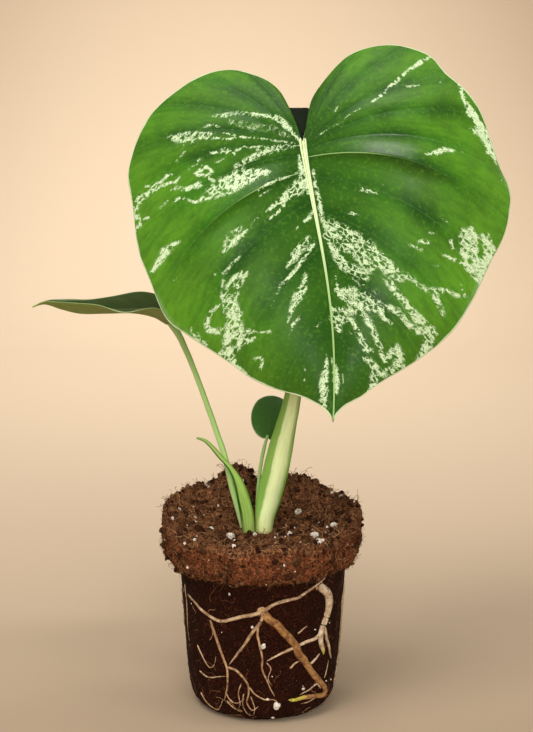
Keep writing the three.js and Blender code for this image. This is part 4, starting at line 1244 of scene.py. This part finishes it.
# %% The roots
FRONT_EXIT = (0, 72)
SIDE_EXIT = (42, 84)
ROOTS = [                           # radius, paleness, yellow tip, then degrees and heights
    (1.15, 0.55, 0, FRONT_EXIT, (-11, 69), (-19, 67), (-31, 64), (-42, 66), (-52, 70), (-66, 74)),
    (0.95, 0.3, 0, (-40, 64), (-37, 58), (-33, 49), (-29, 40), (-26, 32), (-27, 22), (-30, 14)),
    (1.1, 0.45, 0, FRONT_EXIT, (-1, 66), (-7, 59), (-12, 52), (-18, 45), (-25, 37)),
    (2.5, 0.05, 1, FRONT_EXIT, (7, 66), (13, 61), (19, 55), (25, 47), (32, 39), (40, 30), (48, 23),
     (56, 16), (54, 12), (41, 14.5), (29, 15), (20, 15.5)),
    (1.05, 0.6, 0, FRONT_EXIT, (7, 76), (14, 78), (23, 79), (30, 82), (40, 86), (48, 89)),
    (2.7, 0.95, 1, SIDE_EXIT, (52, 76), (52, 66), (47, 57), (46, 49), (50, 39)),
    (1.1, 0.85, 0, (47, 60), (53, 50), (57, 42), (62, 33)),
    (1.1, 0.75, 0, (46, 54), (42, 52), (34, 51), (26, 49), (18, 47), (10, 44), (3, 41)),
    (0.75, 0.3, 0, (-3, 64), (-3, 58), (-2, 50), (0, 42), (0, 36), (4, 27), (9, 18)),
    (0.7, 0.7, 0, (20, 35), (24, 38), (28, 39)),
    (0.8, 0.75, 0, (38, 36), (42, 38), (47, 41)),
    (0.75, 0.35, 0, (-27, 36), (-20, 34), (-15, 31), (-11, 26), (-10, 20), (-12, 14), (-8, 9), (-3, 12)),
    (0.5, 0.4, 0, (-56, 44), (-50, 38), (-43, 33), (-38, 35), (-36, 41)),
    (0.45, 0.4, 0, (-37, 60), (-38, 54), (-41, 50)),
    (0.5, 0.5, 0, (-55, 28), (-45, 26), (-35, 28), (-27, 30)),
    (0.5, 0.3, 0, (-57, 13), (-50, 7), (-41, 5), (-35, 9), (-31, 15)),
    (0.45, 0.5, 0, (-29, 20), (-25, 15), (-20, 13), (-14, 16)),
    (0.4, 0.5, 0, (-28, 14), (-23, 9), (-16, 8)),
    (0.5, 0.35, 0, (-10, 24), (-5, 20), (2, 17), (9, 16), (15, 11)),
    (0.4, 0.4, 0, (-14, 20), (-15, 12), (-12, 6), (-8, 5)),
    (0.4, 0.5, 0, (-9, 18), (-6, 11), (-7, 5)),
    (0.4, 0.4, 0, (-16, 26), (-18, 20), (-17, 13), (-20, 8)),
    (0.35, 0.5, 0, (3, 40), (6, 36), (4, 30), (7, 25)),
    (0.6, 0.85, 0, (52, 20), (44, 21), (36, 19), (29, 17)),
    (0.5, 0.9, 0, (50, 17), (44, 24), (40, 27)),
    (0.45, 0.8, 0, (47, 13), (38, 11), (31, 11)),
    (0.45, 0.7, 0, (54, 23), (57, 29), (58, 34)),
    (0.5, 0.5, 0, (26, 57), (31, 60), (34, 61)),
    (0.9, 0.8, 0, (14, 100), (16, 96), (18, 92)),
    (0.4, 0.35, 0, (-70, 80), (-69, 66), (-71, 52), (-68, 38)),
]
BACK_ROOTS = 7
BACK_ROOT_FOOT = 14                 # height where the plain roots at the back end
ROOT_STEP = 0.9
WALL_RADIUS = 47                    # turns degrees into millimetres along the wall
CROWN_CENTRE = np.array([-3, 2])
CROWN = [(0, 52), (4, 53), (8, 60), (9, 72), (8.6, 84), (11.6, 92), (11.6, 97), (0, 97)]


def wobble(a, b):
    """A number from -1 to 1 that depends on a and b alone, the same as in the measured model."""
    share = np.sin(127.1 * a + 311.7 * b) * 43758.5453
    return 2 * (share - np.floor(share)) - 1


def tube(path, radii, sides=8):
    heading = unit(np.gradient(path, axis=0))
    axis = np.where(np.abs(heading[:, 2:]) > 0.9, np.array([1.0, 0, 0]), np.array([0, 0, 1.0]))
    right = unit(np.cross(heading, axis))
    back = np.cross(heading, right)
    turn = np.linspace(0, 2 * np.pi, sides, endpoint=False)[None, :, None]
    offset = np.cos(turn) * right[:, None] + np.sin(turn) * back[:, None]
    return path[:, None] + radii[:, None, None] * offset


roots = Joined()


def add_root(path, radii, pale, tip):
    rings = tube(path, radii)
    count, sides = rings.shape[:2]
    run = np.repeat(run_along(path), sides)
    marks = np.column_stack([np.full(len(run), pale), tip * (run / run[-1]), run])
    roots.add(rings, capped_tube_faces(count, sides, roots.size), marks)


# %% Roots along the wall, and the buried stem
def add_wall_root(radius, pale, tip, stations, seed):
    line = smooth_line(stations, 24)
    run = run_along(np.column_stack([np.radians(line[:, 0]) * WALL_RADIUS, line[:, 1]]))
    steps = np.linspace(0, run[-1], max(12, int(run[-1] / ROOT_STEP)))
    line = pick_along(line, run, steps)
    share = steps / steps[-1]
    swelling = 1 + 0.08 * noise(np.column_stack([steps, 0 * steps, 0 * steps]), 4, seed)
    radii = radius * (1 - 0.62 * share ** 2) * swelling
    radii[-3:] *= (0.85, 0.6, 0.25)
    sway = noise(np.column_stack([steps, 0 * steps + seed, 0 * steps]), 6, seed + 1) * min(0.6, radius)
    sunk = np.where(share < 0.03, -1.2 * radius, 0.15 * radius)
    add_root(wall_place(line[:, 0] + sway, line[:, 1] + sway, sunk), radii, pale, tip)


for number, (radius, pale, tip, *stations) in enumerate(ROOTS):
    add_wall_root(radius, pale, tip, stations, 50 + number)
for number in range(BACK_ROOTS):
    exit_angle = 92 + 30 * number + 6 * wobble(number, 3)
    top = 74 + 8 * wobble(number, 5)
    drift = 26 * wobble(number, 9)
    steps = np.arange(7)
    angles = exit_angle + drift * steps / 6 + 7 * wobble(number, 20 + steps)
    stations = np.column_stack([angles, top - (top - BACK_ROOT_FOOT) * steps / 6])
    add_wall_root(1.3 + 0.5 * wobble(number, 11), 0.5, 0, stations, 80 + number)

for angle, z, radius in ((*FRONT_EXIT, 3.4), (*SIDE_EXIT, 3.0)):
    inner = np.array([*CROWN_CENTRE, z + 6.0])
    outer = wall_place(angle, z, 0)
    middle = inner + 0.6 * (outer - inner)
    middle[2] = z + 3
    add_root(smooth_line([inner, middle, outer], 8), np.full(17, radius), 0.3, 0)
crown_line = smooth_line(CROWN, 4)
crown_path = np.column_stack([np.repeat(CROWN_CENTRE[None], len(crown_line), axis=0), crown_line[:, 1]])
crown_path[:, 2] += np.arange(len(crown_line)) * 1e-3
add_root(crown_path, np.maximum(crown_line[:, 0], 0.05), 0.2, 0)


# %% The roots' finish
def root_finish():
    finish = Finish("root skin", Specular_IOR_Level=0.4)
    place = finish.place()
    pale, tip, _ = finish.parts(finish.mark("root", "Vector"))
    blotches = finish.clouds(place, 260.0, 3.0, 0.6)
    brown = finish.blend(blotches, 0.35, 0.65, tone(124, 78, 38), tone(182, 130, 74))
    bright = finish.blend(blotches, 0.35, 0.65, tone(184, 150, 112), tone(228, 208, 178))
    colour = finish.blend(tip, 0.86, 0.97, finish.mix(pale, brown, bright), tone(198, 186, 72))
    soiled = finish.clouds(place, 420.0, 4.0, 0.7)
    colour = finish.blend(soiled, 0.52, 0.66, colour, tone(70, 40, 24), 0.0, 0.7)
    finish.relief(finish.clouds(place, 900.0, 3.0), 0.0004, 0.6)
    return finish.paint(colour, finish.ease(blotches, 0.3, 0.7, 0.5, 0.7))


roots.make("roots_skin", root_finish(), "root", "root", ("rootstock",))

# %% [markdown]
# ## Loose things in the soil: perlite, crumbs and fibres
#
# Potting mix is a mixture. Perlite is a white glass foam that keeps it airy, the crumbs are
# peat, and the long threads are coir from coconut husks. These small things decide whether
# the ball looks like soil or like clay, and they break up its outline. Instancing would be
# the light way, but an exported part keeps only real meshes, so each kind is one joined mesh.

# %% Stones made from a ball
def ball(subdivisions):
    made = bmesh.new()
    bmesh.ops.create_icosphere(made, subdivisions=subdivisions, radius=1.0)
    points = np.array([list(vertex.co) for vertex in made.verts])
    faces = np.array([[vertex.index for vertex in face.verts] for face in made.faces])
    made.free()
    return points, faces


def spins(count, random):
    """Random turns, one matrix each, from a random quaternion."""
    w, x, y, z = unit(random.normal(size=(count, 4))).T
    rows = [
        [1 - 2 * (y * y + z * z), 2 * (x * y - z * w), 2 * (x * z + y * w)],
        [2 * (x * y + z * w), 1 - 2 * (x * x + z * z), 2 * (y * z - x * w)],
        [2 * (x * z - y * w), 2 * (y * z + x * w), 1 - 2 * (x * x + y * y)],
    ]
    return np.array(rows).transpose(2, 0, 1)


def stones(centres, sizes, subdivisions, random, roughness=0.35, shape=(1.15, 0.9, 0.85)):
    base, faces = ball(subdivisions)
    count = len(centres)
    shifts = random.uniform(0, 400, (count, 1, 3))
    bumps = 1 + roughness * noise(base[None] * 2.0 + shifts, 1.4, 61, 2)
    shaped = base[None] * bumps[..., None] * np.array(shape)
    turned = np.einsum("nij,nkj->nki", spins(count, random), shaped)
    points = centres[:, None] + turned * np.asarray(sizes)[:, None, None]
    all_faces = faces[None] + (np.arange(count) * len(base))[:, None, None]
    return points.reshape(-1, 3), all_faces.reshape(-1, 3)


# %% The large grains of perlite
def perlite_finish():
    finish = Finish("perlite", Specular_IOR_Level=0.4)
    place = finish.place()
    foam = finish.cells(place, 1500.0)
    dirt = finish.clouds(place, 420.0, 4.0, 0.7)
    colour = finish.blend(foam, 0.1, 0.5, tone(196, 182, 166), tone(238, 228, 214))
    colour = finish.blend(dirt, 0.5, 0.66, colour, tone(132, 98, 68), 0.0, 0.75)
    finish.relief(foam, 0.0004, 0.9)
    return finish.paint(colour, finish.ease(dirt, 0.3, 0.7, 0.75, 0.9))


PERLITE_ON_TOP = [                  # x, y, size
    (-19, -20, 5.2), (31, -27, 5.6), (33, -44, 4.2), (-31, -9, 3.8), (11, -10, 3.8),
    (16.5, -12, 3.6), (43, -12, 3.8), (-46, -21, 3.4), (-12, 24, 3.6), (22, 20, 4),
]
PERLITE_ON_WALL = [(0.5, 50.5, 3.4), (11, 12, 4.6)]     # degrees, height, size
perlite_skin = perlite_finish()
grains = [((x, y, soil_height(x, y) + 0.5), size) for x, y, size in PERLITE_ON_TOP]
grains += [(wall_place(degrees, z, 0), size) for degrees, z, size in PERLITE_ON_WALL]
random = np.random.default_rng(5)
for number, (place, size) in enumerate(grains, start=1):
    points, faces = stones(np.array([place]), [size / 2], 4, random, 0.22)
    make_piece(
        f"perlite_stone_{number:02d}", points, faces.tolist(), perlite_skin, "perlite",
        (f"perlite_{number:02d}",),
    )

# %% Places on the soil for the loose things
TOP_ROWS = (17 * SPAN_ROWS, 26 * SPAN_ROWS)
COLLAR_ROWS = (12 * SPAN_ROWS + 3, 17 * SPAN_ROWS)
WALL_ROWS = (3 * SPAN_ROWS, 12 * SPAN_ROWS)


def on_soil(row, column):
    """The soil's surface and its outward direction between the points of the grid."""
    last = len(soil_points) - 1
    row = np.clip(row, 0, last - 0.001)
    low, left = np.floor(row).astype(int), np.floor(column).astype(int)
    up, over = (row - low)[..., None], (column - left)[..., None]
    left, right = left % SOIL_COLUMNS, (left + 1) % SOIL_COLUMNS
    found = []
    for grid in (soil_points, soil_facing):
        lower = grid[low, left] * (1 - over) + grid[low, right] * over
        upper = grid[low + 1, left] * (1 - over) + grid[low + 1, right] * over
        found.append(lower * (1 - up) + upper * up)
    return found


def scatter(count, rows, random):
    """Rows and columns, spread by area: a row near the middle of the top is short."""
    row = random.uniform(*rows, count * 3)
    radius = np.interp(row, np.arange(len(soil_radius)), soil_radius.mean(axis=1))
    kept = row[random.uniform(0, COLLAR_RADIUS, count * 3) < radius][:count]
    return kept, random.uniform(0, SOIL_COLUMNS, len(kept))


# %% Peat crumbs
CRUMBS = (                          # how many, where, smallest and largest size, fineness of the ball
    (700, TOP_ROWS, 0.8, 2.2, 2), (450, COLLAR_ROWS, 0.7, 1.9, 2),
    (2600, TOP_ROWS, 0.25, 0.7, 1), (1700, COLLAR_ROWS, 0.25, 0.7, 1), (500, WALL_ROWS, 0.2, 0.5, 1),
)


def crumb_finish():
    finish = Finish("peat crumbs", Specular_IOR_Level=0.12)
    fine = finish.clouds(finish.place(), 900.0, 3.0, 0.7)
    colour = finish.mix(finish.mark("tint"), tone(48, 25, 15), tone(128, 88, 58))
    colour = finish.blend(fine, 0.4, 0.7, colour, tone(32, 16, 10), 0.0, 0.6)
    finish.relief(fine, 0.0005, 0.8)
    return finish.paint(colour, finish.ease(fine, 0.3, 0.7, 0.95, 0.75))


random = np.random.default_rng(17)
crumbs = Joined()
for count, rows, low, high, subdivisions in CRUMBS:
    row, column = scatter(count, rows, random)
    sizes = low + (high - low) * random.uniform(0, 1, len(row)) ** 2.5
    places, facing = on_soil(row, column)
    points, faces = stones(places + facing * (0.3 * sizes)[:, None], sizes, subdivisions, random, 0.5)
    tints = np.repeat(random.uniform(0, 1, len(row)) ** 2, len(points) // len(row))
    crumbs.add(points, (faces + crumbs.size).tolist(), tints)
crumbs.make("peat_crumbs", crumb_finish(), "soil", "tint")

# %% Small grains of perlite
SMALL_GRAINS = ((60, TOP_ROWS, 0.5, 1.5), (24, COLLAR_ROWS, 0.5, 1.2), (40, WALL_ROWS, 0.3, 1.0))

random = np.random.default_rng(23)
spots, sizes = [], []
for count, rows, low, high in SMALL_GRAINS:
    row, column = scatter(count, rows, random)
    spots.append(on_soil(row, column)[0])
    sizes.append(low + (high - low) * random.uniform(0, 1, len(row)) ** 2)
points, faces = stones(np.vstack(spots), np.concatenate(sizes), 3, random, 0.3)
make_piece("small_perlite", points, faces.tolist(), perlite_skin, "perlite")

# %% Coir fibres and fine roots
FIBRE_STEPS = 9
FIBRES = (                          # how many, where, length, thickness, how far the ends rise
    (900, TOP_ROWS, (3, 14), (0.06, 0.16), 4.0), (900, COLLAR_ROWS, (2, 9), (0.05, 0.13), 2.5),
    (160, WALL_ROWS, (3, 12), (0.06, 0.16), 0.6),
)


def fibre_finish():
    finish = Finish("coir fibre", Specular_IOR_Level=0.4)
    tint = finish.mark("tint")
    colour = finish.blend(tint, 0.0, 0.6, tone(72, 38, 20), tone(140, 88, 50))
    colour = finish.blend(tint, 0.7, 1.0, colour, tone(186, 148, 104))
    return finish.paint(colour, finish.ease(finish.clouds(finish.place(), 300.0), 0.3, 0.7, 0.5, 0.75))


def threads(count, rows, length, thickness, rise, random):
    """Threads that follow the soil's surface, with their ends lifted off it."""
    row, column = scatter(count, rows, random)
    each = (len(row), 1, 1)
    centre, facing = on_soil(row, column)
    heading = unit(np.cross(facing, unit(random.normal(size=(len(row), 3)))))
    side = np.cross(facing, heading)
    reach = random.uniform(*length, each)
    step = np.linspace(-0.5, 0.5, FIBRE_STEPS)[None, :, None]
    bend = random.normal(size=each) * 0.5
    twist = random.normal(size=each) * 0.25
    path = centre[:, None] + heading[:, None] * step * reach
    path = path + side[:, None] * reach * (bend * step ** 2 + twist * np.sin(5 * step))
    lifts = random.uniform(0, 1, each) ** 2 * rise
    uneven = np.abs(2 * step + random.uniform(-0.5, 0.5, each))
    path = path + facing[:, None] * (0.15 + lifts * uneven)
    return path, random.uniform(*thickness, len(row))


random = np.random.default_rng(29)
fibres = Joined()
for count, rows, length, thickness, rise in FIBRES:
    paths, widths = threads(count, rows, length, thickness, rise, random)
    for path, width, tint in zip(paths, widths, random.uniform(0, 1, len(widths))):
        rings = tube(path, np.full(FIBRE_STEPS, width), 4)
        rings[..., 2] = np.maximum(rings[..., 2], 0.05)
        faces = tube_faces(FIBRE_STEPS, 4, fibres.size).tolist()
        fibres.add(rings, faces, np.full(FIBRE_STEPS * 4, tint))
fibres.make("coir_fibres", fibre_finish(), "soil", "tint")

# %% [markdown]
# ## The studio
#
# A plain pale sweep, floor and backdrop in one, keeps the eye on the plant. It bends up far
# behind the plant, so one can also walk round and look at the plant from behind. Its paper
# has a painted pool of light: brightest behind the leaf and darker towards the corners.
# Two large soft lights in front, one of them high on the left, give the form without hard
# shadows. They leave no mirror image on the leaves. Two small ones do: a strip above the leaf
# draws its gloss, and a small round one draws the glint near the tip. The last light only
# brightens the paper. One strong sun would be simpler, but it would burn out the cream.

# %% Floor and backdrop
SWEEP_BACK = 1.3                    # where the floor starts to bend up, in metres
SWEEP_BEND = 1.3
SWEEP_FRONT = -3.5
SWEEP_TOP = 2.6
SWEEP_HALF_WIDTH = 3.5
# The centre of the pool of light painted on the paper, and how fast it fades.
PAINTED_LIGHT_CENTRE = (-0.06, 1.4, 0.0)
PAINTED_LIGHT_FALLOFF = (1.0, 0.62, 0.5)      # how fast the paper gets darker along x, y and z

turn = np.linspace(0, np.pi / 2, 40)
sweep_end = SWEEP_BACK + SWEEP_BEND
sweep_y = np.concatenate([[SWEEP_FRONT], SWEEP_BACK + SWEEP_BEND * np.sin(turn), [sweep_end]])
sweep_z = np.concatenate([[0], SWEEP_BEND * (1 - np.cos(turn)), [SWEEP_TOP]])
sides = (-SWEEP_HALF_WIDTH, SWEEP_HALF_WIDTH)
sweep_points = np.array([(x, y, z) for x in sides for y, z in zip(sweep_y, sweep_z)])
sweep_mesh = bpy.data.meshes.new("backdrop")
sweep_mesh.from_pydata(sweep_points, [], grid_faces(1, len(sweep_y) - 1).tolist())
sweep_mesh.shade_smooth()
paper = Finish("backdrop paper with painted light", Roughness=0.9)
# The paper's tone is a painted pool of light, brightest round its centre and darker towards the corners.
from_painted_light = paper.vectors("SUBTRACT", paper.place(), PAINTED_LIGHT_CENTRE)
shrunk = paper.vectors("MULTIPLY", from_painted_light, PAINTED_LIGHT_FALLOFF)
far_from_painted_light = paper.vectors("DOT_PRODUCT", shrunk, shrunk, "Value")
sweep_mesh.materials.append(paper.paint(paper.mix(far_from_painted_light, tone(240, 217, 188), tone(172, 149, 123))))
backdrop = new_object("backdrop", sweep_mesh)


# %% Lights and the world around
def area_light(name, place, target, size, watts, mirrored=True, spread=180, depth=None):
    data = bpy.data.lights.new(name, "AREA")
    data.shape = "ELLIPSE"
    data.size = size
    data.size_y = depth or size
    data.energy = watts
    data.color = (1.0, 0.98, 0.94)
    data.spread = np.radians(spread)
    light = new_object(name, data)
    light.location = place
    aim = np.array(target) - np.array(place)
    light.rotation_euler = (
        np.arctan2(np.hypot(aim[0], aim[1]), -aim[2]), 0, np.arctan2(aim[1], aim[0]) - np.pi / 2,
    )
    light.visible_glossy = mirrored
    light.visible_camera = False
    print(name, "at", place, watts, "W")


area_light("key", (-0.55, -1.0, 1.7), (0, 0, 0.2), 0.9, 15.5, mirrored=False)
area_light("front", (0.3, -2.0, 0.8), (0, 0, 0.2), 1.6, 28, mirrored=False)
area_light("sheen", (0.1, -0.3, 1.55), (0.1, 0, 0.3), 0.75, 4.2, depth=0.2)
area_light("glint", (0.17, -1.58, 0.7), (0.04, 0, 0.23), 0.22, 0.9)
area_light("behind", (-0.1, 0.7, 2.1), (-0.1, 2.0, 0.5), 0.8, 18.5, mirrored=False, spread=125)
world = bpy.data.worlds.new("studio")
world.use_nodes = True
background = world.node_tree.nodes["Background"]
background.inputs["Color"].default_value = (1.0, 0.96, 0.91, 1)
background.inputs["Strength"].default_value = 0.3
bpy.context.scene.world = world
bpy.context.scene.view_settings.view_transform = "Standard"
